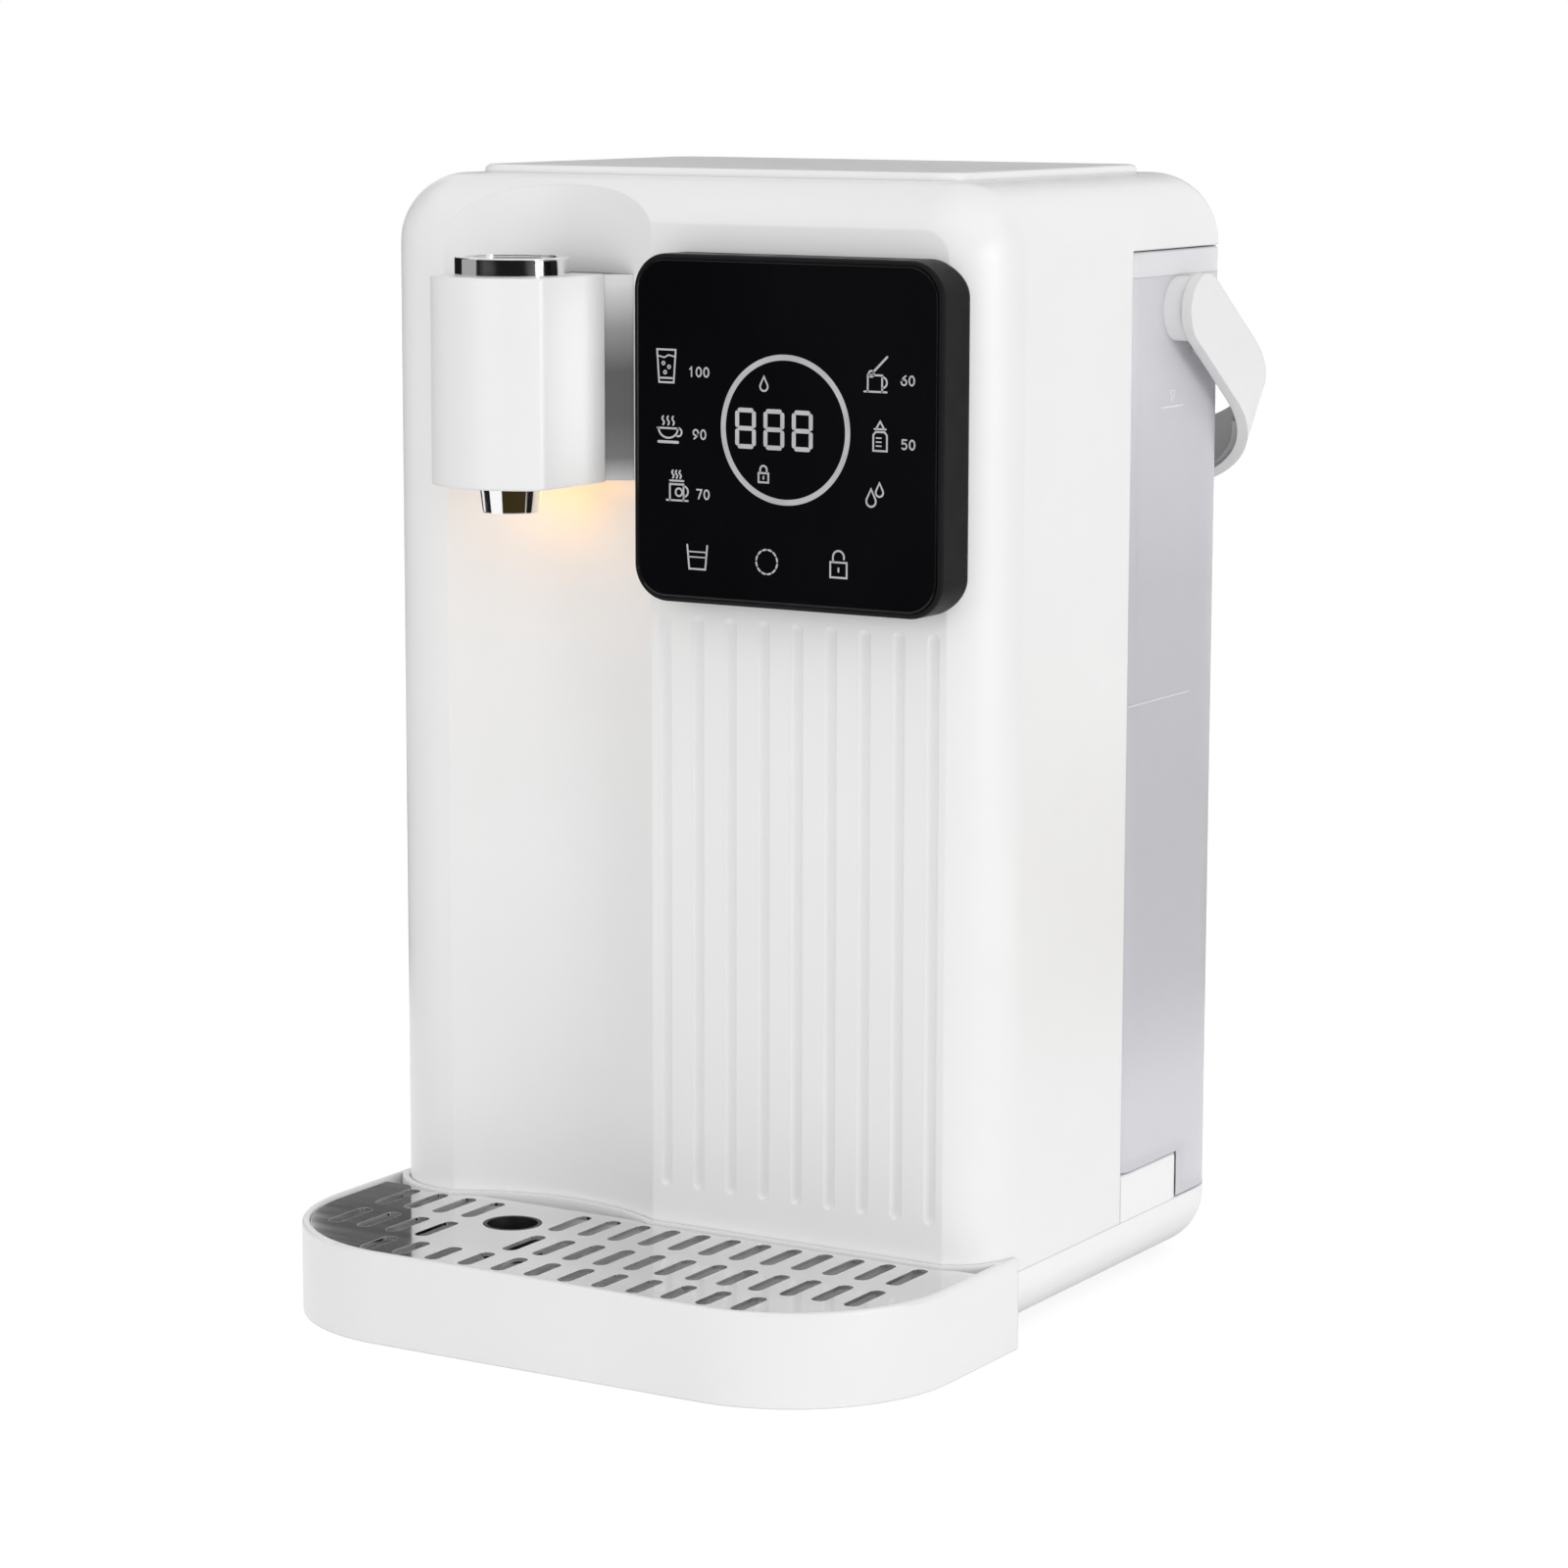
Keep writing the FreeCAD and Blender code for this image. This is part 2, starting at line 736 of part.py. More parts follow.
def spout_block(inset, z0, z1, rear_y):
    """Spout plan: flat sides and a bowed front, inset by a wall."""
    half = spout_half_width - inset
    side_y = spout_side_y + inset * 0.6
    bow_y = spout_side_y - spout_bulge + inset
    left = Vector(niche_x - half, side_y, z0)
    right = Vector(niche_x + half, side_y, z0)
    edges = [
        Part.Arc(left, Vector(niche_x, bow_y, z0), right).toShape(),
        Part.LineSegment(right, Vector(niche_x + half, rear_y, z0)).toShape(),
        Part.LineSegment(Vector(niche_x + half, rear_y, z0), Vector(niche_x - half, rear_y, z0)).toShape(),
        Part.LineSegment(Vector(niche_x - half, rear_y, z0), left).toShape(),
    ]
    return Part.Face(Part.Wire(edges)).extrude(Vector(0, 0, z1 - z0))


def make_spout_cover():
    outer = spout_block(0, spout_bottom, spout_top, spout_rear_y)
    corners = []
    for edge in outer.Edges:
        bounds = edge.BoundBox
        upright = bounds.ZLength > 1 and bounds.XLength < 1e-4 and bounds.YLength < 1e-4
        if upright and bounds.YMax < spout_rear_y - 1:
            corners.append(edge)
    outer = outer.makeFillet(spout_corner_round, corners)
    rims = []
    for edge in edges_at_height(outer, spout_top) + edges_at_height(outer, spout_bottom):
        if edge.BoundBox.YMin < spout_rear_y - 1e-3:
            rims.append(edge)
    outer = outer.makeFillet(spout_edge_round, rims)
    inner = spout_block(spout_wall, spout_bottom - 1, spout_top - spout_wall, spout_rear_y + 1)
    stem_hole = rod(niche_x, cap_y, spout_top - wall * 2, cap_stem_radius + pilot_clearance, wall * 4)
    return cut(outer, [inner, stem_hole])


def make_spout_cap():
    cap = rod(niche_x, cap_y, spout_top, cap_radius, cap_height)
    cap = cap.makeFillet(cap_edge_round, edges_at_height(cap, spout_top + cap_height))
    dish = rod(niche_x, cap_y, spout_top + cap_height - cap_dish, cap_radius - cap_lip, cap_dish)
    stem = rod(niche_x, cap_y, spout_top - cap_stem_length, cap_stem_radius, cap_stem_length + 1)
    return fuse([cap.cut(dish), stem])


def neck_flare_prism(inset, front_y, rear_y):
    """Flared plan of the neck between the spout cover and the niche wall."""
    half = spout_half_width - neck_inset - inset
    flared = half + neck_flare
    flare_end = spout_rear_y + neck_flare_length
    outline = [
        (-half, front_y), (half, front_y), (half, spout_rear_y), (flared, flare_end), (flared, rear_y),
        (-flared, rear_y), (-flared, flare_end), (-half, spout_rear_y),
    ]
    points = [Vector(niche_x + x, y, neck_bottom + inset) for x, y in outline]
    face = Part.Face(Part.makePolygon(points + [points[0]]))
    return face.extrude(Vector(0, 0, neck_top - neck_bottom - 2 * inset))


def neck_tongue_box(inset):
    """Sleeve of the neck that reaches into the back of the spout cover."""
    half = spout_half_width - spout_wall - panel_fit - inset
    low = spout_plate_bottom + spout_wall + panel_fit + inset
    high = spout_top - spout_wall - panel_fit - inset
    return box(niche_x - half, niche_x + half, spout_rear_y - neck_tongue, spout_rear_y + 1, low, high)


def make_neck():
    niche = rod(niche_x, niche_axis_y, neck_bottom - wall, niche_radius, neck_top - neck_bottom + wall * 2)
    solid = neck_flare_prism(0, spout_rear_y, front + niche_depth + wall)
    tongue = neck_tongue_box(0)
    hollow = neck_flare_prism(spout_wall, spout_rear_y + spout_wall, neck_back_y)
    mouth = neck_tongue_box(spout_wall)
    mouth_reach = box(
        niche_x - spout_half_width + spout_wall * 2.5, niche_x + spout_half_width - spout_wall * 2.5,
        spout_rear_y - neck_tongue - 1, spout_rear_y + spout_wall * 2,
        neck_bottom + spout_wall * 2.5, neck_top - spout_wall * 2.5,
    )
    hose_hole = rod(niche_x, spout_rear_y, hose_over_z, hose_hole_radius, niche_depth * 2, Y_AXIS)
    bosses = []
    for x, z in neck_screw_places():
        bosses.append(rod(x, neck_back_y - neck_boss_length, z, screw_radius + boss_wall, neck_boss_length + 1, Y_AXIS))
    pilots = [
        rod(x, neck_back_y - neck_boss_length - 1, z, screw_radius + pilot_clearance, niche_depth * 2, Y_AXIS)
        for x, z in neck_screw_places()
    ]
    duct = cut(fuse([solid, tongue]), [hollow, mouth, mouth_reach])
    return cut(fuse([duct] + bosses), [hose_hole] + pilots).common(niche)


def make_spout_bottom():
    plate = spout_block(
        spout_wall + panel_fit, spout_plate_bottom, spout_plate_bottom + spout_wall, spout_rear_y - neck_tongue - panel_fit
    )
    holes = [
        rod(niche_x, spout_axis_y, spout_bottom - wall, nozzle_root_radius + 0.1, wall * 4),
        rod(niche_x, lens_y, spout_bottom - wall, lens_radius + pilot_clearance, wall * 4),
    ]
    return cut(plate, holes)


def make_nozzle():
    tip_z = spout_bottom - nozzle_length
    seat_z = spout_plate_bottom + spout_wall
    cone = Part.makeCone(nozzle_tip_radius, nozzle_root_radius, nozzle_length, Vector(niche_x, spout_axis_y, tip_z))
    sleeve = rod(niche_x, spout_axis_y, spout_bottom, nozzle_root_radius, seat_z - spout_bottom)
    flange = rod(niche_x, spout_axis_y, seat_z, nozzle_flange_radius, nozzle_flange)
    spigot = rod(niche_x, spout_axis_y, seat_z, spigot_radius, nozzle_flange + spigot_length)
    bore = rod(niche_x, spout_axis_y, tip_z - 1, nozzle_bore_radius, nozzle_length + spigot_length * 3)
    mouth = rod(niche_x, spout_axis_y, tip_z - 1, nozzle_tip_radius - nozzle_lip, screen_inset + screen_thickness + 1)
    return cut(fuse([cone, sleeve, flange, spigot]), [bore, mouth])


def make_outlet_screen():
    radius = nozzle_tip_radius - nozzle_lip
    z = spout_bottom - nozzle_length + screen_inset
    holes = [rod(niche_x, spout_axis_y, z - 1, screen_hole_radius, screen_thickness + 2)]
    for index in range(screen_hole_count):
        angle = 2 * math.pi * index / screen_hole_count
        x = niche_x + screen_hole_ring * math.cos(angle)
        y = spout_axis_y + screen_hole_ring * math.sin(angle)
        holes.append(rod(x, y, z - 1, screen_hole_radius, screen_thickness + 2))
    return cut(rod(niche_x, spout_axis_y, z, radius, screen_thickness), holes)


def make_night_light():
    lens = rod(niche_x, lens_y, spout_bottom + 0.1, lens_radius, lens_length)
    dome_edges = edges_at_height(lens, spout_bottom + 0.1)
    lens = lens.makeFillet(lens_radius * 0.4, dome_edges)
    top = spout_bottom + 0.1 + lens_length
    board = box(
        niche_x - light_board_half, niche_x + light_board_half, lens_y - lens_radius, lens_y + lens_radius,
        top, top + board_thickness,
    )
    posts = []
    plate_top = spout_plate_bottom + spout_wall
    for side in (-1, 1):
        x = niche_x + side * (light_board_half - spacer_radius / 2)
        posts.append(rod(x, lens_y, plate_top, spacer_radius / 2, top - plate_top))
    return lens, fuse([board] + posts)


def body_outside():
    """The housing's outer shape with its front relief, used to fit what sits on it."""
    return cut(body_block(0, seam_height, rim_height, top_round), front_relief(0, rim_height + wall, 0))


def make_panel_frame():
    block = upright_panel(
        frame_left, frame_right, frame_bottom, frame_top, frame_front, frame_front + frame_block_depth, frame_corner
    )
    rim = []
    for edge in block.Edges:
        bounds = edge.BoundBox
        if abs(bounds.YMin - frame_front) < 1e-4 and abs(bounds.YMax - frame_front) < 1e-4:
            rim.append(edge)
    block = block.makeFillet(glass_lip * 0.6, rim)
    seat = upright_panel(
        glass_left - glass_gap, glass_right + glass_gap, glass_bottom - glass_gap, glass_top + glass_gap,
        frame_front - 1, glass_back, frame_corner - glass_lip,
    )
    inset = glass_lip + frame_ledge
    cavity = upright_panel(
        frame_left + inset, frame_right - inset, frame_bottom + inset, frame_top - inset,
        frame_front - 1, frame_front + frame_block_depth + 1, frame_corner - inset,
    )
    bosses = []
    for x, z in panel_screw_places():
        bosses.append(boss(x, panel_board_back, z, recess_floor - panel_board_back, Y_AXIS))
        web = upright_panel(
            min(x, web_edge_x(x)), max(x, web_edge_x(x)), z - 1, z + 1, panel_board_back, recess_floor, 0.5
        )
        bosses.append(web.cut(rod(x, frame_front, z, screw_radius + boss_wall / 2, frame_block_depth, Y_AXIS)))
    return fuse([cut(block, [seat, cavity])] + bosses).cut(body_outside())


def web_edge_x(x):
    """Where the web of a panel boss meets the frame's wall."""
    inset = glass_lip + frame_ledge / 2
    return frame_left + inset if x < frame_centre_x else frame_right - inset


def make_panel_stack():
    """Glass, light mask, digit display and touch board, from the front to the back."""
    glass = upright_panel(
        glass_left, glass_right, glass_bottom, glass_top, glass_back - glass_thickness, glass_back,
        frame_corner - glass_lip,
    )
    inset = glass_lip + frame_ledge + panel_fit
    left = frame_left + inset
    right = frame_right - inset
    low = frame_bottom + inset
    high = frame_top - inset
    radius = frame_corner - inset
    window = box(
        frame_centre_x - digit_window_width / 2, frame_centre_x + digit_window_width / 2,
        glass_back - 1, panel_board_back, digit_window_z - digit_window_height / 2,
        digit_window_z + digit_window_height / 2,
    )
    mask = upright_panel(left, right, low, high, glass_back, glass_back + mask_thickness, radius).cut(window)
    digits = box(
        frame_centre_x - digit_window_width / 2 + panel_fit, frame_centre_x + digit_window_width / 2 - panel_fit,
        glass_back, glass_back + mask_thickness,
        digit_window_z - digit_window_height / 2 + panel_fit, digit_window_z + digit_window_height / 2 - panel_fit,
    )
    board_front = glass_back + mask_thickness
    board = upright_panel(left, right, low, high, board_front, board_front + board_thickness, radius)
    return glass, mask, digits, board


def cradle_clearance(gap, z1):
    """The room that the cradle takes under the front of the tank."""
    return plan_solid(
        -body_width, body_width, front, cradle_rear + gap, 0, z1, 0, 0,
    ).common(plan_solid(
        -half_width - gap, half_width + gap, front, cradle_rear + gap, 0, z1, 0, cradle_corner + gap,
    ))


def tank_block(inset, z0, z1, step_gap):
    half = half_width - tank_side_gap - inset
    block = plan_solid(
        -half, half, tank_front + inset, rear - inset, z0, z1,
        tank_front_corner - inset, corner_radius - tank_side_gap - inset,
    )
    side_room = cradle_clearance(step_gap, cradle_top + step_gap)
    ends = box(-body_width, body_width, front, cradle_rear - cradle_corner, 0, cradle_top + step_gap)
    return cut(block, [side_room, ends])


def make_tank():
    outer = tank_block(0, tank_bottom, tank_top, tank_step_gap)
    inner = tank_block(tank_wall, tank_bottom + tank_wall, tank_top + wall, tank_step_gap + tank_wall)
    valve_hole = rod(valve_x, tank_front - wall, valve_z, barrel_radius + pilot_clearance, wall * 3, Y_AXIS)
    stop_low = -stop_height - seat_clearance
    stops = [handle_stop(side, tank_side - tank_wall / 2, tank_side + boss_length, stop_low) for side in (-1, 1)]
    return fuse([cut(outer, [inner, valve_hole])] + stops)


def make_tank_lid():
    def ring_block(inset, z0, z1):
        half = half_width - tank_side_gap - inset
        return plan_solid(
            -half, half, tank_front + inset, rear - inset, z0, z1,
            tank_front_corner - inset, corner_radius - tank_side_gap - inset,
        )
    top = ring_block(0, tank_top, lid_top)
    top = top.makeFillet(lid_edge_round, edges_at_height(top, lid_top))
    top = top.cut(ring_block(tank_wall, tank_top, lid_top - lid_skin))
    plug_outer = tank_wall + lid_plug_gap
    plug_inner = plug_outer + lid_plug_wall
    plug = ring_block(plug_outer, tank_top - lid_plug, lid_top - lid_skin / 2)
    plug = plug.cut(ring_block(plug_inner, tank_top - lid_plug - 1, lid_top - lid_skin / 2 + 1))
    return fuse([top, plug])


def hang_handle(shape):
    """Move a shape from the handle's own flat frame to where it hangs on the tank."""
    shape.rotate(Vector(0, 0, 0), X_AXIS, -handle_droop)
    shape.translate(Vector(0, handle_pivot_y, handle_pivot_z))
    return shape


def bail(half, reach, bend, half_band, y0):
    """Filled U shape of the handle, from which a smaller one is cut."""
    return plan_solid(-half, half, y0, reach, -half_band, half_band, 0, bend)


def make_handle():
    outer = bail(handle_outer_half, handle_reach, handle_bend, handle_half_band, 0)
    inner_half_width = handle_outer_half - handle_thickness
    inner = bail(
        inner_half_width, handle_reach - handle_thickness, handle_bend - handle_thickness,
        handle_half_band + 1, -1,
    )
    strap = outer.cut(inner)
    ends = []
    for side in (-1, 1):
        start = side * inner_half_width
        ends.append(rod(start, 0, 0, handle_half_band, handle_thickness, X_AXIS * side))
        pin_start = side * (tank_side + pivot_end_gap)
        ends.append(rod(pin_start, 0, 0, pivot_radius, abs(start - pin_start) + handle_thickness / 2, X_AXIS * side))
    stops = [handle_stop(side, tank_side + pivot_end_gap, inner_half_width + 1, 0) for side in (-1, 1)]
    return fuse([hang_handle(fuse([strap] + ends))] + stops)


def make_grip_pad():
    """Soft strip along the inner face of the grip and its bends."""
    band = handle_half_band - pad_margin
    face = handle_thickness
    outer = bail(handle_outer_half - face, handle_reach - face, handle_bend - face, band, 0)
    face += pad_thickness
    inner = bail(handle_outer_half - face, handle_reach - face, handle_bend - face, band + 1, -1)
    arms = box(-body_width, body_width, -handle_reach, pad_start, -body_width, body_width)
    return hang_handle(cut(outer, [inner, arms]))


def handle_stop(side, start_x, end_x, low):
    """Small block beside the pivot that limits how far the handle drops."""
    x0 = min(side * start_x, side * end_x)
    x1 = max(side * start_x, side * end_x)
    return hang_handle(box(x0, x1, stop_distance, stop_distance + stop_width, low, low + stop_height))


def make_handle_bosses():
    bosses = []
    for side in (-1, 1):
        axis = X_AXIS * side
        outer = rod(side * tank_side, handle_pivot_y, handle_pivot_z, boss_radius, boss_length, axis)
        rim = far_circle(outer, Vector(side * tank_side, handle_pivot_y, handle_pivot_z))
        outer = outer.makeFillet(boss_edge_round, [rim])
        bore = rod(
            side * tank_side, handle_pivot_y, handle_pivot_z, pivot_radius + pivot_clearance, boss_length, axis
        )
        bosses.append(outer.cut(bore))
    return bosses


def make_valve_body():
    barrel = rod(valve_x, barrel_front, valve_z, barrel_radius, tank_front - barrel_front + tank_wall, Y_AXIS)
    flange = rod(valve_x, tank_front + tank_wall, valve_z, valve_flange_radius, valve_flange, Y_AXIS)
    front_port = rod(valve_x, barrel_front - 1, valve_z, valve_outlet_radius, wall * 2, Y_AXIS)
    chamber = rod(valve_x, barrel_front + chamber_wall, valve_z, chamber_radius, chamber_length, Y_AXIS)
    rear_port = rod(valve_x, tank_front, valve_z, valve_inlet_radius, tank_wall + valve_flange + 1, Y_AXIS)
    groove = tube(
        valve_x, seal_y - seal_section, valve_z, barrel_radius + 1, seal_ring_radius - seal_section,
        seal_section * 2, Y_AXIS,
    )
    return cut(fuse([barrel, flange]), [front_port, chamber, rear_port, groove])


def make_valve_seal():
    return Part.makeTorus(seal_ring_radius, seal_section, Vector(valve_x, seal_y, valve_z), Y_AXIS)


def make_poppet():
    head = rod(valve_x, poppet_back - poppet_thickness, valve_z, poppet_radius, poppet_thickness, Y_AXIS)
    stem = rod(valve_x, poppet_back - poppet_thickness, valve_z, poppet_stem_radius, poppet_stem, Y_AXIS * -1)
    return fuse([head, stem])


def make_valve_spring():
    y0 = barrel_front + chamber_wall + spring_wire + seal_clearance
    y1 = poppet_back - poppet_thickness - spring_wire - seal_clearance
    length = y1 - y0
    helix = Part.makeHelix(length / spring_turns, length, spring_radius)
    section = Part.Wire(Part.makeCircle(spring_wire, Vector(spring_radius, 0, 0), Y_AXIS))
    coil = Part.Wire(helix).makePipeShell([section], True, True)
    coil.rotate(Vector(0, 0, 0), X_AXIS, -90)
    coil.translate(Vector(valve_x, y0, valve_z))
    return coil


def make_strainer():
    y0 = tank_front + tank_wall + valve_flange
    cup = rod(valve_x, y0, valve_z, strainer_radius, strainer_length, Y_AXIS)
    hollow = rod(valve_x, y0, valve_z, strainer_radius - strainer_skin, strainer_length - strainer_skin, Y_AXIS)
    windows = []
    for index in range(strainer_windows):
        window = box(
            valve_x, valve_x + strainer_radius * 2, y0 + strainer_skin, y0 + strainer_length - strainer_skin * 2,
            valve_z - strainer_window / 2, valve_z + strainer_window / 2,
        )
        window.rotate(Vector(valve_x, y0, valve_z), Y_AXIS, index * 360 / strainer_windows)
        windows.append(window)
    return cut(cup, [hollow] + windows)


def make_socket():
    """Cup in the bulkhead that the tank's valve barrel slides into."""
    inner_radius = socket_inner_radius
    y0 = socket_floor - socket_end
    cup = rod(valve_x, y0, valve_z, socket_outer_radius, bulkhead_rear - y0, Y_AXIS)
    flange = rod(valve_x, bulkhead_front - wall, valve_z, socket_flange_radius, wall, Y_AXIS)
    spigot = rod(valve_x, water_line_y, valve_z, spigot_radius, socket_outer_radius + spigot_length, X_AXIS * -1)
    inside = rod(valve_x, socket_floor, valve_z, inner_radius, body_depth, Y_AXIS)
    bore = rod(valve_x, water_line_y, valve_z, nozzle_bore_radius, body_width, X_AXIS * -1)
    return cut(fuse([cup, flange, spigot]), [inside, bore])


def make_flow_sensor():
    start = sensor_x - sensor_length / 2
    body = box(start, start + sensor_length, water_line_y - sensor_height / 2, bulkhead_front,
               valve_z - sensor_height / 2, valve_z + sensor_height / 2)
    spigots = rod(start - spigot_length, water_line_y, valve_z, spigot_radius, sensor_length + spigot_length * 2, X_AXIS)
    bore = rod(-body_width, water_line_y, valve_z, nozzle_bore_radius, body_width * 2, X_AXIS)
    return fuse([body, spigots]).cut(bore)


def make_pump():
    half = pump_head_size / 2
    foot_z = base_floor + pump_foot_height
    motor_end = pump_x + half + motor_length
    plate = box(pump_x - half, motor_end, pump_y - half, pump_y + half, foot_z, foot_z + pump_plate)
    head = box(
        pump_x - half, pump_x + half, pump_y - half, pump_y + half, foot_z + pump_plate,
        foot_z + pump_plate + pump_head_height,
    )
    spigots = [
        rod(pump_x + side * spigot_spacing, pump_y + pump_port_y, pump_top - 1, spigot_radius, spigot_length + 1)
        for side in (-1, 1)
    ]
    bores = [
        rod(pump_x + side * spigot_spacing, pump_y + pump_port_y, pump_top - 4, nozzle_bore_radius, spigot_length * 2)
        for side in (-1, 1)
    ]
    pump = cut(fuse([plate, head] + spigots), bores)
    motor = rod(
        pump_x + half, pump_y, foot_z + pump_plate + motor_radius, motor_radius, motor_length, X_AXIS
    )
    motor = motor.makeFillet(motor_edge_round, [far_circle(motor, Vector(pump_x, pump_y, foot_z))])
    grommets = []
    for x in (pump_x - half + spacer_radius * 2, motor_end - spacer_radius * 2):
        for y in (pump_y - half + spacer_radius * 2, pump_y + half - spacer_radius * 2):
            grommets.append(rod(x, y, base_floor, spacer_radius * 1.5, pump_foot_height))
    return pump, motor, grommets


def make_heater():
    tank = rod(heater_x, heater_y, heater_bottom, heater_radius, heater_length)
    inside = rod(heater_x, heater_y, heater_bottom - 1, heater_radius - heater_skin, heater_length + 2)
    shell = tank.cut(inside)
    caps = []
    for z, side in ((heater_bottom, -1), (heater_bottom + heater_length, 1)):
        axis = Z_AXIS * side
        disc = rod(heater_x, heater_y, z, heater_radius, heater_cap, axis)
        spigot = rod(heater_x, heater_y, z, spigot_radius, heater_cap + spigot_length, axis)
        bore = rod(heater_x, heater_y, z, nozzle_bore_radius, heater_cap + spigot_length, axis)
        caps.append(fuse([disc, spigot]).cut(bore))
    brackets = []
    for z in (heater_bottom + bracket_height, heater_bottom + heater_length - bracket_height * 2):
        band = rod(heater_x, heater_y, z, heater_radius + bracket_band, bracket_height)
        link = box(heater_x - bracket_link / 2, heater_x + bracket_link / 2, heater_y, bulkhead_front, z,
                   z + bracket_height)
        brackets.append(fuse([band, link]).cut(rod(heater_x, heater_y, z - 1, heater_radius, bracket_height + 2)))
    cutout = rod(
        heater_x, heater_y - heater_radius - cutout_height, heater_bottom + heater_length / 2, cutout_radius,
        cutout_height + heater_radius / 2, Y_AXIS,
    ).cut(tank)
    return shell, caps, brackets, cutout


def make_hoses():
    start = pump_x - spigot_spacing
    port_y = pump_y + pump_port_y
    overlap = spigot_length - 1
    socket_end_x = valve_x - socket_outer_radius
    sensor_inlet = sensor_x + sensor_length / 2 + 1
    sensor_outlet = sensor_x - sensor_length / 2 - 1
    supply = tube(
        sensor_inlet, water_line_y, valve_z, spigot_radius + hose_wall, spigot_radius,
        socket_end_x - sensor_inlet - 1, X_AXIS,
    )
    rise_x = pump_x + spigot_spacing
    feed = hose([
        Vector(sensor_outlet, water_line_y, valve_z),
        Vector(rise_x, water_line_y, valve_z),
        Vector(rise_x, water_line_y, feed_top_z),
        Vector(rise_x, port_y, feed_top_z),
        Vector(rise_x, port_y, pump_top + spigot_length - overlap),
    ], spigot_radius)
    pressure = hose([
        Vector(start, port_y, pump_top + spigot_length - overlap),
        Vector(start, port_y, hose_cross_z),
        Vector(heater_x, port_y, hose_cross_z),
        Vector(heater_x, port_y, heater_bottom - heater_cap - spigot_length + overlap),
    ], spigot_radius)
    outlet = hose([
        Vector(heater_x, heater_y, heater_bottom + heater_length + heater_cap + spigot_length - overlap),
        Vector(heater_x, heater_y, hose_over_z),
        Vector(niche_x, heater_y, hose_over_z),
        Vector(niche_x, spout_axis_y, hose_over_z),
        Vector(niche_x, spout_axis_y, spout_plate_bottom + spout_wall + nozzle_flange + spigot_length - overlap),
    ], spigot_radius)
    return supply, feed, pressure, outlet


def make_power_board():
    back = bulkhead_front - spacer_length
    board = box(board_left, board_right, back - board_thickness, back, board_low, board_high)
    board = cut(board, [rod(x, back - wall, z, screw_radius + pilot_clearance, wall * 2, Y_AXIS)
                        for x, z in spacer_places()])
    face = back - board_thickness
    components = []
    unit = component_unit
    for dx, dz, width, height, depth in board_blocks:
        x = board_left + dx * unit
        z = board_low + dz * unit
        components.append(box(x, x + width * unit, face - depth * unit, face, z, z + height * unit))
    for dx, dz, radius, depth in board_cans:
        x = board_left + dx * unit
        z = board_low + dz * unit
        components.append(rod(x, face - depth * unit, z, radius * unit, depth * unit, Y_AXIS))
    spacers = [
        tube(x, back, z, spacer_radius, screw_radius + pilot_clearance, spacer_length, Y_AXIS)
        for x, z in spacer_places()
    ]
    return board, components, spacers


# Small sizes that belong to one feature
base_screw_inset = 19.5
base_screw_front = 27.7
base_screw_rear = 11.2
base_boss_height = 24.0
base_screw_seat = 8.0
base_screw_length = 26.0
bulkhead_screw_inset = 3.6
bulkhead_screw_low = 50.4
bulkhead_screw_high = 29.2
side_boss_length = 12.0
ceiling_screw_inset = 33.5
ceiling_screw_front = 11.9
ceiling_screw_rear = 21.7
countersunk_depth = 1.6
cradle_screw_inset = 23.5
cradle_screw_front = 11.6
cradle_screw_rear = 10.4
cradle_screw_length = 20.0
cover_clip_side = 8.0
cover_clip_end = 12.2
cover_clip_width = 8.0
cover_clip_thickness = 1.8
cover_clip_reach = 2.6
cover_clip_barb = 0.9
cover_edge_round = 1.6
foot_edge_round = 0.8
gland_flange = 1.5
cradle_edge_round = 1.0
ribbon_hole_width = 24.0
ribbon_hole_height = 8.0
panel_screw_inset = 12.0
panel_screw_length = 8.0
neck_screw_spread = 9.0
neck_screw_lift = 16.3
neck_screw_length = 10.0
neck_boss_length = 2.4
neck_back_wall = 1.6
spout_corner_round = 2.4
spout_edge_round = 0.8
cap_edge_round = 0.4
cap_lip = 2.5
cap_dish = 0.6
screen_inset = 1.6
screen_thickness = 1.2
screen_hole_radius = 0.7
screen_hole_ring = 3.4
screen_hole_count = 8
nozzle_lip = 1.5
lens_length = 3.4
light_board_half = 6.5
digit_window_width = 34.0
digit_window_height = 20.0
lid_edge_round = 1.0
lid_plug_wall = 1.6
pivot_end_gap = 0.5
boss_edge_round = 1.0
poppet_stem = 4.0
poppet_stem_radius = 1.3
strainer_radius = 9.5
strainer_windows = 8
strainer_window = 3.0
spigot_spacing = 7.0
pump_port_y = 8.0
motor_edge_round = 2.0
heater_skin = 1.2
bracket_link = 16.0
cutout_height = 8.0
cutout_radius = 7.0
feed_rise = 28.0
rear_row_reach = 12.3
middle_row_reach = 35.0
front_row_reach = 54.3
rear_slot_shift = -0.3
middle_slot_shift = 0.5
front_slot_shift = 1.1
rear_slot_length = 17.4
middle_slot_length = 16.7
front_slot_length = 13.7
board_spacer_inset = 5.0
# Blocks and cans on the power board, in component units: place, size and depth
board_blocks = ((4, 6, 10, 8, 7.5), (17, 6, 9, 14, 9), (4, 19, 11, 10, 6), (18, 24, 7, 10, 11), (4, 37, 21, 4, 5))
board_cans = ((9, 49, 4, 10), (19, 49, 3, 8))
board_screw_length = 6.0

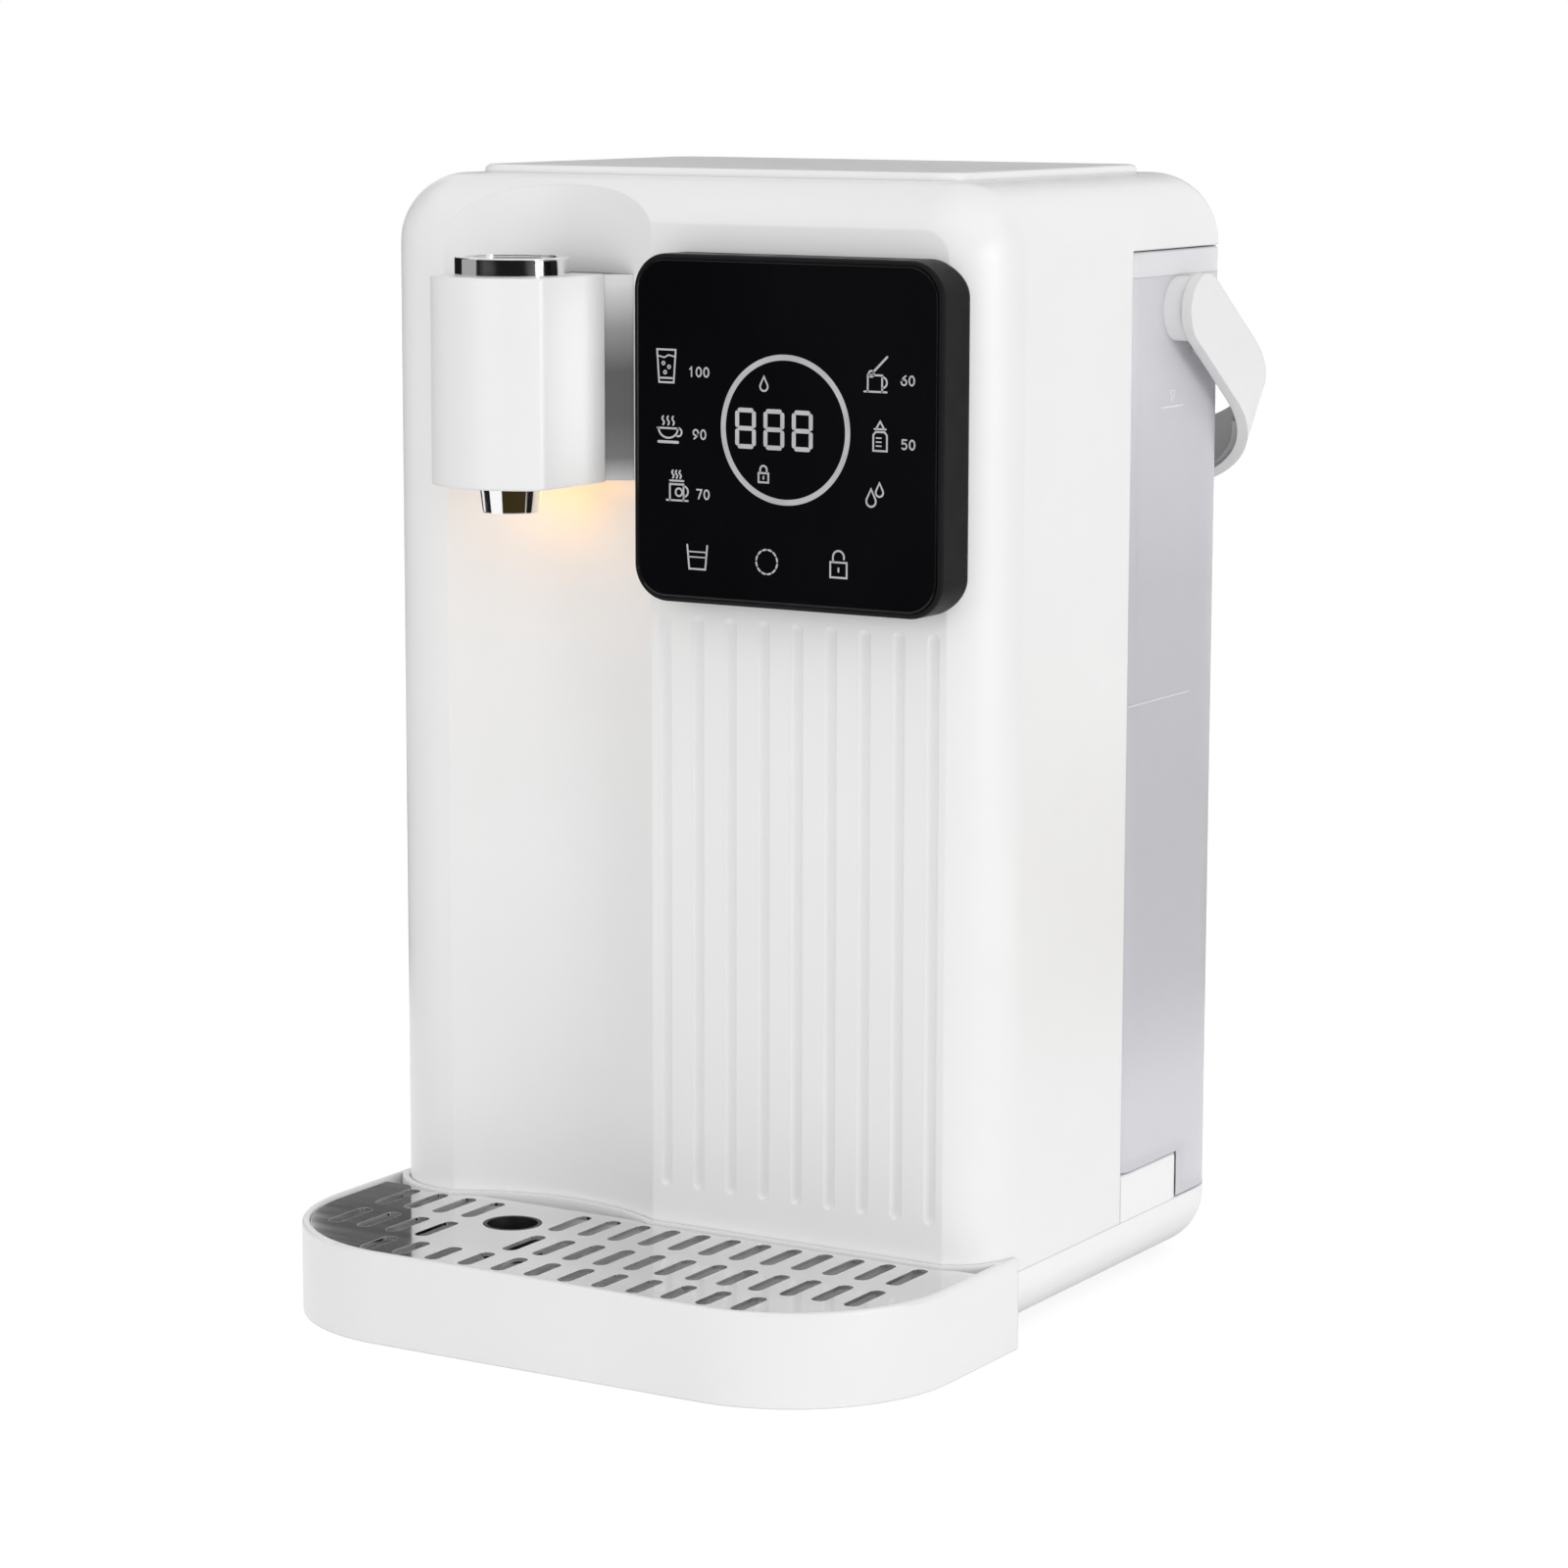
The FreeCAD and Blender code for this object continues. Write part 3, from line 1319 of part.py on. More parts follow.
# Places of the small features
foot_x = half_width - foot_inset
foot_front_y = front + foot_front_inset
foot_rear_y = rear - foot_rear_inset
gland_x = -half_width + gland_inset
tray_width = body_width + 2 * tray_overhang
tray_front = front - tray_reach
tray_wing_rear = front + tray_wrap
tab_right_x = half_width - tab_right_inset
row_rear_y = front - rear_row_reach
row_middle_y = front - middle_row_reach
row_front_y = front - front_row_reach
spout_axis_y = front - spout_reach
drain_y = front - drain_reach
spout_top = rim_height - spout_drop
spout_bottom = spout_top - spout_height
neck_bottom = spout_bottom + neck_bottom_step
neck_top = spout_top - neck_top_step
neck_screw_z = spout_bottom + neck_screw_lift
lens_y = spout_axis_y + lens_setback
frame_right = half_width - frame_side
frame_left = niche_x + spout_half_width + frame_from_spout
frame_top = rim_height - frame_drop
frame_bottom = frame_top - frame_height
flute_first_x = frame_left + flute_margin
flute_count = int((frame_right - frame_left - 2 * flute_margin) / flute_pitch) + 1
flute_bottom = seam_height + flute_lift
flute_top = frame_bottom - flute_drop
base_screw_x = half_width - base_screw_inset
base_screw_rows = (front + base_screw_front, bulkhead_front - base_screw_rear)
bulkhead_screw_x = inner_half - bulkhead_screw_inset
bulkhead_low_z = seam_height + bulkhead_screw_low
bulkhead_high_z = hood_bottom - bulkhead_screw_high
bulkhead_screw_rows = (bulkhead_low_z, (bulkhead_low_z + bulkhead_high_z) / 2, bulkhead_high_z)
ceiling_screw_x = half_width - ceiling_screw_inset
ceiling_screw_rows = (side_rear + ceiling_screw_front, rear - ceiling_screw_rear)
cradle_screw_x = half_width - cradle_screw_inset
cradle_screw_rows = (cradle_front + cradle_screw_front, cradle_rear - cradle_screw_rear)
cover_clip_x = cover_half_x - cover_clip_side
cover_clip_y = cover_half_y - cover_clip_end
valve_x = half_width - valve_side
valve_z = cradle_top + valve_lift
pump_x = -pump_side_step
sensor_x = pump_x + sensor_from_pump
pump_y = bulkhead_front - pump_setback
heater_x = half_width - heater_side
heater_y = bulkhead_front - heater_setback
heater_length = rim_height - heater_drop - heater_bottom
hose_over_z = rim_height - hose_drop
hose_cross_z = heater_bottom - hose_under_heater
board_left = -half_width + board_side
board_right = board_left + board_width
board_high = board_low + board_height
deck_front = bulkhead_front - deck_ledge
grille_top = tray_height - grille_drop
grille_underside = grille_top - grille_thickness
grille_wing_y = front - tray_gap
spout_side_y = spout_axis_y - spout_front_offset
cap_y = spout_axis_y + cap_setback
spout_rear_y = spout_side_y + spout_side_length
spout_plate_bottom = spout_bottom + panel_fit
neck_flared_half = spout_half_width - neck_inset + neck_flare
neck_back_y = niche_axis_y + math.sqrt(niche_radius ** 2 - neck_flared_half ** 2) - neck_back_wall
hose_hole_radius = spigot_radius + hose_wall + tab_clearance
frame_front = recess_floor - frame_reach
frame_block_depth = recess_floor - frame_front + top_round / 2
glass_back = frame_front - glass_proud + glass_thickness
glass_left = frame_left + glass_lip
glass_right = frame_right - glass_lip
glass_bottom = frame_bottom + glass_lip
glass_top = frame_top - glass_lip
panel_board_back = glass_back + mask_thickness + board_thickness
frame_centre_x = (frame_left + frame_right) / 2
frame_centre_z = (frame_bottom + frame_top) / 2
digit_window_z = frame_centre_z
tank_front = side_rear + tank_front_gap
tank_side = half_width - tank_side_gap
tank_bottom = seam_height + tank_step_gap
lid_top = hood_bottom - tank_lid_gap
tank_top = lid_top - lid_height
handle_pivot_y = rear - pivot_from_rear
handle_pivot_z = tank_top - pivot_drop
handle_outer_half = tank_side + boss_length + seat_clearance + handle_thickness
droop = math.radians(handle_droop)
handle_rear = handle_pivot_y + handle_reach * math.cos(droop) + handle_half_band * math.sin(droop)
footprint_middle = (tray_front + handle_rear) / 2
barrel_front = tank_front - barrel_reach
chamber_length = tank_front - barrel_front - chamber_wall + tank_wall
poppet_back = barrel_front + chamber_wall + chamber_length - seal_clearance
seal_y = barrel_front + barrel_reach * 0.4
seal_ring_radius = barrel_radius - seal_section * 0.45
socket_inner_radius = seal_ring_radius + seal_section + seal_clearance
socket_outer_radius = socket_inner_radius + socket_wall
socket_floor = barrel_front - spigot_radius * 2
water_line_y = socket_floor + spigot_radius
pump_top = base_floor + pump_foot_height + pump_plate + pump_head_height
feed_top_z = pump_top + feed_rise
neck_screw_inner = neck_screw_spread - screw_head_radius
neck_screw_seat = niche_axis_y + math.sqrt((niche_radius + wall) ** 2 - neck_screw_inner ** 2)


def base_screw_places():
    return [(side * base_screw_x, y) for side in (-1, 1) for y in base_screw_rows]


def cradle_screw_places():
    return [(side * cradle_screw_x, y) for side in (-1, 1) for y in cradle_screw_rows]


def ceiling_screw_places():
    return [(side * ceiling_screw_x, y) for side in (-1, 1) for y in ceiling_screw_rows]


def bulkhead_screw_places():
    return [(side * bulkhead_screw_x, z) for side in (-1, 1) for z in bulkhead_screw_rows]


def panel_screw_places():
    xs = (frame_left + panel_screw_inset, frame_right - panel_screw_inset)
    zs = (frame_bottom + panel_screw_inset, frame_top - panel_screw_inset)
    return [(x, z) for x in xs for z in zs]


def neck_screw_places():
    return [(niche_x + side * neck_screw_spread, neck_screw_z) for side in (-1, 1)]


def spacer_places():
    xs = (board_left + board_spacer_inset, board_right - board_spacer_inset)
    zs = (board_low + board_spacer_inset, board_high - board_spacer_inset)
    return [(x, z) for x in xs for z in zs]


def foot_places():
    return [(side * foot_x, y) for side in (-1, 1) for y in (foot_front_y, foot_rear_y)]


def tab_places():
    return [niche_x, tab_right_x]


def tray_post_places():
    """Posts under the grille, clear of the drain hole."""
    rear_row = front - post_rear_reach
    front_row = front - post_front_reach
    columns = (-half_width + post_side, niche_x + post_from_niche, half_width - post_right_side)
    places = [(x, y) for x in columns for y in (rear_row, front_row)]
    return places + [(half_width - post_corner_side, rear_row)]


def make_screw_sets():
    down = Z_AXIS * -1
    back = Y_AXIS
    forward = Y_AXIS * -1
    sets = {
        "base_screws": [pan_screw(x, y, base_screw_seat, base_screw_length, Z_AXIS) for x, y in base_screw_places()],
        "cradle_screws": [
            pan_screw(x, y, base_screw_seat, cradle_screw_length, Z_AXIS) for x, y in cradle_screw_places()
        ],
        "ceiling_screws": [
            countersunk_screw(x, y, ceiling_bottom, ceiling_thickness + thread_bite, Z_AXIS, countersunk_depth)
            for x, y in ceiling_screw_places()
        ],
        "bulkhead_screws": [
            countersunk_screw(x, bulkhead_rear, z, bulkhead_thickness + thread_bite, forward, countersunk_depth)
            for x, z in bulkhead_screw_places()
        ],
        "panel_screws": [
            pan_screw(x, recess_floor + wall, z, panel_screw_length, forward) for x, z in panel_screw_places()
        ],
        "spout_screws": [
            pan_screw(x, neck_screw_seat, z, neck_screw_length, forward) for x, z in neck_screw_places()
        ],
        "board_screws": [
            pan_screw(x, bulkhead_front - spacer_length - board_thickness, z, spacer_length + board_screw_length / 2,
                      back) for x, z in spacer_places()
        ],
    }
    return sets


export("housing_shell", make_housing())
export("top_cover", make_top_cover())
export("base_casing", make_base())
export("cord_gland", make_gland())
export("rubber_feet", *make_feet())
export("tank_cradle", make_cradle())
export("rear_bulkhead", make_bulkhead())
export("bay_ceiling", make_bay_ceiling())
export("drip_tray", make_tray())
export("drip_grille", make_grille())
export("drain_sleeve", make_drain_sleeve())
export("spout_cover", make_spout_cover())
export("spout_cap", make_spout_cap())
export("spout_neck", make_neck())
export("spout_bottom_plate", make_spout_bottom())
export("outlet_nozzle", make_nozzle())
export("outlet_screen", make_outlet_screen())
night_lens, night_board = make_night_light()
export("night_light_lens", night_lens)
export("night_light_board", night_board)
export("panel_frame", make_panel_frame())
panel_glass, light_mask, digit_display, touch_board = make_panel_stack()
export("panel_glass", panel_glass)
export("panel_light_mask", light_mask)
export("digit_display", digit_display)
export("touch_board", touch_board)
export("tank_shell", make_tank())
export("tank_lid", make_tank_lid())
export("handle_bosses", *make_handle_bosses())
export("tank_handle", make_handle())
export("handle_grip_pad", make_grip_pad())
export("valve_body", make_valve_body())
export("valve_seal", make_valve_seal())
export("valve_poppet", make_poppet())
export("valve_spring", make_valve_spring())
export("intake_strainer", make_strainer())
export("tank_socket", make_socket())
export("flow_sensor", make_flow_sensor())
pump_body, pump_motor, pump_grommets = make_pump()
export("pump_body", pump_body)
export("pump_motor", pump_motor)
export("pump_grommets", *pump_grommets)
heater_shell, heater_caps, heater_brackets, thermal_cutout = make_heater()
export("heater_shell", heater_shell)
export("heater_end_caps", *heater_caps)
export("heater_brackets", *heater_brackets)
export("thermal_cutout", thermal_cutout)
supply_hose, feed_hose, pressure_hose, outlet_hose = make_hoses()
export("supply_hose", supply_hose)
export("feed_hose", feed_hose)
export("pressure_hose", pressure_hose)
export("outlet_hose", outlet_hose)
power_board, board_components, board_spacers = make_power_board()
export("power_board", power_board)
export("board_components", *board_components)
export("board_spacers", *board_spacers)
for set_name, screws in make_screw_sets().items():
    export(set_name, *screws)
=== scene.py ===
import math

import bmesh
import bpy
from mathutils import Matrix, Vector


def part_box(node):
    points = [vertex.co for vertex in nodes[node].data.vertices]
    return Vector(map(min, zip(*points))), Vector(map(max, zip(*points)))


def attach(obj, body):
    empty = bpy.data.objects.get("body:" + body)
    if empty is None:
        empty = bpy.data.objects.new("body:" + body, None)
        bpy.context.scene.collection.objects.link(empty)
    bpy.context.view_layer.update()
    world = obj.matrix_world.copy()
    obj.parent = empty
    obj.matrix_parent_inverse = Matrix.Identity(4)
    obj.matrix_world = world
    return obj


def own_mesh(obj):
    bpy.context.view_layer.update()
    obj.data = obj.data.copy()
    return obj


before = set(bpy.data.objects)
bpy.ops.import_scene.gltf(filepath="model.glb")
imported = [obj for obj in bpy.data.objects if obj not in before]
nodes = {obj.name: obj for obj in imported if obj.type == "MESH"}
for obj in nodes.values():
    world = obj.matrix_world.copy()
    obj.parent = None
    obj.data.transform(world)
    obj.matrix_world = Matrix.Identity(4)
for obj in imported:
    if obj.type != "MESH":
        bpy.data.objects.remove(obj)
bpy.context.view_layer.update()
MM = 0.001


# Materials

def start_material(name):
    material = bpy.data.materials.new(name)
    material.use_nodes = True
    tree = material.node_tree
    return material, tree, tree.nodes["Principled BSDF"]


def object_point(tree, stretch=(1, 1, 1)):
    """Object coordinates, squeezed along an axis where a finish runs in one direction."""
    coordinates = tree.nodes.new("ShaderNodeTexCoord")
    mapping = tree.nodes.new("ShaderNodeMapping")
    mapping.inputs["Scale"].default_value = stretch
    tree.links.new(coordinates.outputs["Object"], mapping.inputs["Vector"])
    return mapping.outputs["Vector"]


def noise(tree, point, scale, detail=2.0, roughness=0.5):
    node = tree.nodes.new("ShaderNodeTexNoise")
    node.inputs["Scale"].default_value = scale
    node.inputs["Detail"].default_value = detail
    node.inputs["Roughness"].default_value = roughness
    tree.links.new(point, node.inputs["Vector"])
    return node.outputs["Fac"]


def ramp(tree, value, stops):
    """Colour ramp from a value; stops are (position, colour)."""
    node = tree.nodes.new("ShaderNodeValToRGB")
    elements = node.color_ramp.elements
    while len(elements) < len(stops):
        elements.new(0.5)
    for element, (position, colour) in zip(elements, stops):
        element.position = position
        element.color = (*colour, 1)
    tree.links.new(value, node.inputs["Fac"])
    return node.outputs["Color"]


def spread(tree, value, low, high):
    """Maps the middle of a noise on to a range."""
    node = tree.nodes.new("ShaderNodeMapRange")
    node.inputs["From Min"].default_value = 0.3
    node.inputs["From Max"].default_value = 0.7
    node.inputs["To Min"].default_value = low
    node.inputs["To Max"].default_value = high
    tree.links.new(value, node.inputs["Value"])
    return node.outputs["Result"]


def relief(tree, bsdf, value, height, edge):
    """Surface relief over softened edges; height and edge are in metres."""
    bump = tree.nodes.new("ShaderNodeBump")
    bump.inputs["Distance"].default_value = height
    tree.links.new(value, bump.inputs["Height"])
    if edge:
        soft = tree.nodes.new("ShaderNodeBevel")
        soft.samples = 6
        soft.inputs["Radius"].default_value = edge
        tree.links.new(soft.outputs["Normal"], bump.inputs["Normal"])
    tree.links.new(bump.outputs["Normal"], bsdf.inputs["Normal"])


# Noise scales of the fine grain and the soft patches, and how many times finer the gloss varies
GRAIN = 1400.0
MOTTLE = 16.0
GLOSS_PATCHES = 9.0


def finish(name, tints, gloss, grain=GRAIN, height=4e-6, edge=0.0, mottle=MOTTLE, stretch=(1, 1, 1),
           **sockets):
    """A moulded or machined finish: two near tints in soft patches, uneven gloss and a fine grain."""
    material, tree, bsdf = start_material(name)
    point = object_point(tree, stretch)
    patches = noise(tree, point, mottle, 3.0, 0.55)
    tree.links.new(ramp(tree, patches, [(0.35, tints[0]), (0.65, tints[1])]), bsdf.inputs["Base Color"])
    sheen = noise(tree, point, mottle * GLOSS_PATCHES, 4.0)
    tree.links.new(spread(tree, sheen, *gloss), bsdf.inputs["Roughness"])
    relief(tree, bsdf, noise(tree, point, grain, 2.0), height, edge)
    for socket, value in sockets.items():
        bsdf.inputs[socket.replace("_", " ")].default_value = value
    return material


def grey(value, blue=0.0):
    return (value, value, value + blue)


finishes = {
    "white_shell": finish("white_shell", (grey(0.88), grey(0.90)), (0.28, 0.36), edge=0.0008),
    "white_tray": finish("white_tray", (grey(0.87), grey(0.89)), (0.28, 0.38), edge=0.0007),
    "inner_plastic": finish("inner_plastic", (grey(0.60), grey(0.64)), (0.45, 0.58), height=8e-6,
                            edge=0.0004),
    "panel_black": finish("panel_black", ((0.010, 0.010, 0.0105), (0.015, 0.015, 0.0155)), (0.30, 0.42),
                          edge=0.0008, height=8e-6, Specular_IOR_Level=0.06),
    "mask_black": finish("mask_black", (grey(0.014), grey(0.022)), (0.5, 0.65), edge=0.0002),
    "display": finish("display", ((0.03, 0.03, 0.035), (0.05, 0.05, 0.055)), (0.25, 0.35)),
    "board_green": finish("board_green", ((0.015, 0.095, 0.035), (0.022, 0.125, 0.05)), (0.32, 0.48),
                          mottle=60.0),
    "components": finish("components", (grey(0.02), grey(0.05)), (0.35, 0.55), mottle=40.0, edge=0.0003),
    "rubber": finish("rubber", (grey(0.022), grey(0.032)), (0.62, 0.78), height=1.2e-5, edge=0.0005),
    "silicone": finish("silicone", ((0.72, 0.72, 0.70), (0.78, 0.78, 0.76)), (0.35, 0.5),
                       Transmission_Weight=0.35),
    "chrome_trim": finish("chrome_trim", (grey(0.86), grey(0.90)), (0.04, 0.09), grain=500.0, height=4e-7,
                          edge=0.0005, Metallic=1.0),
    "drain_black": finish("drain_black", (grey(0.008), grey(0.014)), (0.4, 0.55), height=9e-6, edge=0.0002),
    "grille_steel": finish("grille_steel", (grey(0.80), grey(0.86)), (0.06, 0.11), grain=900.0, height=6e-7,
                           stretch=(0.06, 1, 1), mottle=22.0, edge=0.0002, Metallic=1.0),
    "steel": finish("steel", (grey(0.56), grey(0.64)), (0.2, 0.32), grain=900.0, height=2e-6,
                    stretch=(1, 1, 0.08), Metallic=1.0),
    "screw_steel": finish("screw_steel", (grey(0.42), grey(0.52)), (0.28, 0.42), mottle=60.0,
                          Metallic=1.0),
    "motor_steel": finish("motor_steel", (grey(0.48), grey(0.56)), (0.24, 0.36), stretch=(0.1, 1, 1),
                          Metallic=1.0),
    "copper_cutout": finish("copper_cutout", ((0.72, 0.42, 0.28), (0.80, 0.50, 0.34)), (0.25, 0.4),
                            Metallic=1.0),
    "tank_lid": finish("tank_lid", ((0.90, 0.90, 0.93), (0.93, 0.93, 0.96)), (0.3, 0.42), edge=0.0006,
                       Transmission_Weight=0.15, IOR=1.49),
    "clear_boss": finish("clear_boss", ((0.95, 0.95, 0.96), (0.98, 0.98, 0.99)), (0.06, 0.12), edge=0.0004,
                         Transmission_Weight=0.04, IOR=1.49),
    "handle_white": finish("handle_white", (grey(0.84), grey(0.86)), (0.30, 0.38), edge=0.0007),
    "grip_pad": finish("grip_pad", (grey(0.36), grey(0.39)), (0.5, 0.62), height=9e-6, edge=0.0004),
    "valve_plastic": finish("valve_plastic", ((0.66, 0.66, 0.70), (0.72, 0.72, 0.76)), (0.34, 0.46),
                            edge=0.0003),
    "lens": finish("lens", ((0.95, 0.70, 0.30), (1.0, 0.78, 0.40)), (0.15, 0.25),
                   Emission_Color=(1.0, 0.66, 0.24, 1), Emission_Strength=6.0),
}


def panel_glass_finish():
    """Dark cover glass with faint wiping marks in its gloss."""
    material, tree, bsdf = start_material("panel_glass")
    point = object_point(tree)
    shades = [(0.3, (0.0022, 0.0022, 0.0028)), (0.7, (0.0045, 0.0045, 0.0062))]
    tint = ramp(tree, noise(tree, point, 10.0, 2.0), shades)
    tree.links.new(tint, bsdf.inputs["Base Color"])
    wipes = noise(tree, object_point(tree, (1, 1, 0.25)), 70.0, 5.0, 0.65)
    tree.links.new(spread(tree, wipes, 0.035, 0.085), bsdf.inputs["Roughness"])
    relief(tree, bsdf, noise(tree, point, 60.0, 1.0), 5e-7, 0.0007)
    bsdf.inputs["Specular IOR Level"].default_value = 0.35
    return material


def sum_of(tree, first, second, share):
    """First value plus a share of the second."""
    node = tree.nodes.new("ShaderNodeMath")
    node.operation = "MULTIPLY_ADD"
    tree.links.new(second, node.inputs[0])
    node.inputs[1].default_value = share
    tree.links.new(first, node.inputs[2])
    return node.outputs[0]


def rise_between(tree, point, low, high):
    """How far up a surface point is, from 0 at one height to 1 at another."""
    split = tree.nodes.new("ShaderNodeSeparateXYZ")
    tree.links.new(point, split.inputs[0])
    rise = tree.nodes.new("ShaderNodeMapRange")
    rise.inputs["From Min"].default_value = low
    rise.inputs["From Max"].default_value = high
    tree.links.new(split.outputs["Z"], rise.inputs["Value"])
    return rise.outputs["Result"]


def moulded_surface(tree, bsdf, point, gloss, height, edge):
    """Uneven gloss and fine grain of a moulded plastic."""
    tree.links.new(spread(tree, noise(tree, point, 140.0, 4.0), *gloss), bsdf.inputs["Roughness"])
    relief(tree, bsdf, noise(tree, point, GRAIN), height, edge)


def neck_painted_reflection():
    """Smoked plastic of the neck with a painted reflection in its colour: its sides pale at their upper and
    lower end, its underside pale, its top face dark.
    """
    material, tree, bsdf = start_material("dark_neck")
    point = object_point(tree)
    low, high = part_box("spout_neck")
    rise = rise_between(tree, point, low.z, high.z)
    facing = tree.nodes.new("ShaderNodeTexCoord")
    level = tree.nodes.new("ShaderNodeSeparateXYZ")
    tree.links.new(facing.outputs["Normal"], level.inputs[0])
    flat = tree.nodes.new("ShaderNodeMath")
    flat.operation = "ABSOLUTE"
    tree.links.new(level.outputs["Z"], flat.inputs[0])
    painted_reflection_place = sum_of(tree, rise, flat.outputs[0], -0.5)
    # painted reflection: pale ends and underside, dark middle of the sides and dark top face
    shades = [(0.0, 0.80), (0.11, 0.27), (0.3, 0.17), (0.53, 0.16), (0.74, 0.40), (0.96, 0.96)]
    tint = ramp(tree, painted_reflection_place, [(place, grey(shade, 0.003)) for place, shade in shades])
    tree.links.new(tint, bsdf.inputs["Base Color"])
    moulded_surface(tree, bsdf, point, (0.28, 0.38), 4e-6, 0.0006)
    return material


def tank_painted_light():
    """Smoky plastic with painted light in its colour: paler near the lid and low down where the cradle
    stands behind it, darker between, with a random cloudy tone.
    """
    material, tree, bsdf = start_material("tank_plastic")
    point = object_point(tree)
    rise = rise_between(tree, point, 0.02, 0.27)
    cloud = noise(tree, point, 9.0, 3.0)
    # painted light: paler towards the lid and the foot, darker in between
    shades = [(0.06, 0.95), (0.16, 0.93), (0.28, 0.79), (0.44, 0.77), (0.72, 0.77), (0.86, 0.85),
              (0.97, 0.94)]
    tint = ramp(tree, sum_of(tree, rise, cloud, 0.08),
                [(place, grey(shade, 0.045)) for place, shade in shades])
    tree.links.new(tint, bsdf.inputs["Base Color"])
    moulded_surface(tree, bsdf, point, (0.34, 0.46), 6e-6, 0.0006)
    bsdf.inputs["Transmission Weight"].default_value = 0.35
    bsdf.inputs["IOR"].default_value = 1.49
    return material


def base_painted_shade():
    """White plastic of the base with painted shade: greyer towards its rounded lower edge."""
    material, tree, bsdf = start_material("base_white")
    point = object_point(tree)
    low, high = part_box("base_casing")
    rise = rise_between(tree, point, low.z, high.z)
    # painted shade, darkest at the rounded lower edge
    shades = [(0.02, 0.58), (0.2, 0.72), (0.45, 0.88), (0.75, 0.95)]
    tint = ramp(tree, sum_of(tree, rise, noise(tree, point, MOTTLE, 3.0), 0.03),
                [(place, grey(shade)) for place, shade in shades])
    tree.links.new(tint, bsdf.inputs["Base Color"])
    moulded_surface(tree, bsdf, point, (0.36, 0.46), 7e-6, 0.0007)
    return material


finishes["base_white"] = base_painted_shade()
finishes["panel_glass"] = panel_glass_finish()
finishes["tank_plastic"] = tank_painted_light()
finishes["dark_neck"] = neck_painted_reflection()
print_ink = finish("print_ink", ((0.44, 0.44, 0.455), (0.52, 0.52, 0.53)), (0.45, 0.6), mottle=120.0)
level_ink = finish("level_ink", ((0.74, 0.74, 0.79), (0.80, 0.80, 0.84)), (0.35, 0.45), mottle=90.0)

for node in nodes.values():
    for material_slot in node.material_slots:
        slot_name = material_slot.material.name.split(".")[0]
        material_slot.material = finishes[slot_name]


# Flat signs as thin raised strokes

class Sheet:
    """Collects strokes drawn in a plane and turns them into one thin raised piece."""

    def __init__(self, origin, across, up, out, lift=0.05, sink=0.02):
        self.mesh = bmesh.new()
        self.origin, self.across, self.up, self.out = map(Vector, (origin, across, up, out))
        self.lift, self.sink = lift, sink

    def vertex(self, point):
        place = self.origin + (self.across * point[0] + self.up * point[1] - self.out * self.sink) * MM
        return self.mesh.verts.new(place)

    def face(self, points):
        self.mesh.faces.new([self.vertex(p) for p in points])

    def stroke(self, points, width, closed=False):
        """A line of even width with mitred corners and round ends."""
        points = [Vector(p) for p in points]
        last = len(points) - 1
        sides = []
        for i, here in enumerate(points):
            ways = []
            if closed or i > 0:
                ways.append((here - points[i - 1]).normalized())
            if closed or i < last:
                ways.append((points[(i + 1) % len(points)] - here).normalized())
            mean = sum(ways, Vector((0, 0))).normalized()
            normal = Vector((-mean.y, mean.x))
            reach = width / 2 / max(0.55, normal.dot(Vector((-ways[0].y, ways[0].x))))
            sides.append((self.vertex(here + normal * reach), self.vertex(here - normal * reach)))
        pairs = list(zip(sides, sides[1:] + sides[:1])) if closed else list(zip(sides, sides[1:]))
        for (left, right), (next_left, next_right) in pairs:
            self.mesh.faces.new((left, next_left, next_right, right))
        if not closed:
            self.cap(points[0], points[0] - points[1], width, sides[0])
            self.cap(points[-1], points[-1] - points[-2], width, (sides[-1][1], sides[-1][0]))

    def cap(self, centre, way, width, ends):
        angle = math.atan2(way.y, way.x)
        arc = []
        for step in (1, 2, 3):
            turn = angle + math.pi / 2 - step * math.pi / 4
            arc.append(self.vertex(centre + Vector((math.cos(turn), math.sin(turn))) * width / 2))
        self.mesh.faces.new([ends[1], *arc, ends[0]])

    def piece(self, name, material, body, slot):
        bmesh.ops.recalc_face_normals(self.mesh, faces=self.mesh.faces[:])
        raised = bmesh.ops.extrude_face_region(self.mesh, geom=self.mesh.faces[:])
        moved = [v for v in raised["geom"] if isinstance(v, bmesh.types.BMVert)]
        bmesh.ops.translate(self.mesh, vec=self.out * (self.lift + self.sink) * MM, verts=moved)
        bmesh.ops.recalc_face_normals(self.mesh, faces=self.mesh.faces[:])
        data = bpy.data.meshes.new(name)
        self.mesh.to_mesh(data)
        self.mesh.free()
        made = bpy.data.objects.new(name, data)
        bpy.context.scene.collection.objects.link(made)
        data.materials.append(material)
        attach(made, body)
        return made


def arc(x, z, radius, start, end, squeeze=1.0, steps=16):
    points = []
    for i in range(steps + 1):
        angle = math.radians(start + (end - start) * i / steps)
        points.append((x + radius * math.cos(angle), z + radius * squeeze * math.sin(angle)))
    return points


def ring(sheet, x, z, radius, width, squeeze=1.0, steps=24):
    sheet.stroke(arc(x, z, radius, 0, 360, squeeze, steps)[:-1], width, closed=True)


# Plain numbers as strokes in a cell 1 wide and 1.6 high
NUMERALS = {
    "0": [(arc(0.5, 0.8, 0.5, 90, 450, 1.6)[:-1], True)],
    "1": [([(0.2, 1.25), (0.55, 1.6), (0.55, 0.0)], False)],
    "5": [([(0.95, 1.6), (0.15, 1.6), (0.1, 0.95)] + arc(0.47, 0.52, 0.5, 120, -140), False)],
    "6": [([(0.85, 1.6), (0.3, 1.15)] + arc(0.5, 0.5, 0.5, 160, 510), False)],
    "7": [([(0.0, 1.6), (1.0, 1.6), (0.38, 0.0)], False)],
    "9": [([(0.15, 0.0), (0.7, 0.45)] + arc(0.5, 1.1, 0.5, -20, 330), False)],
}


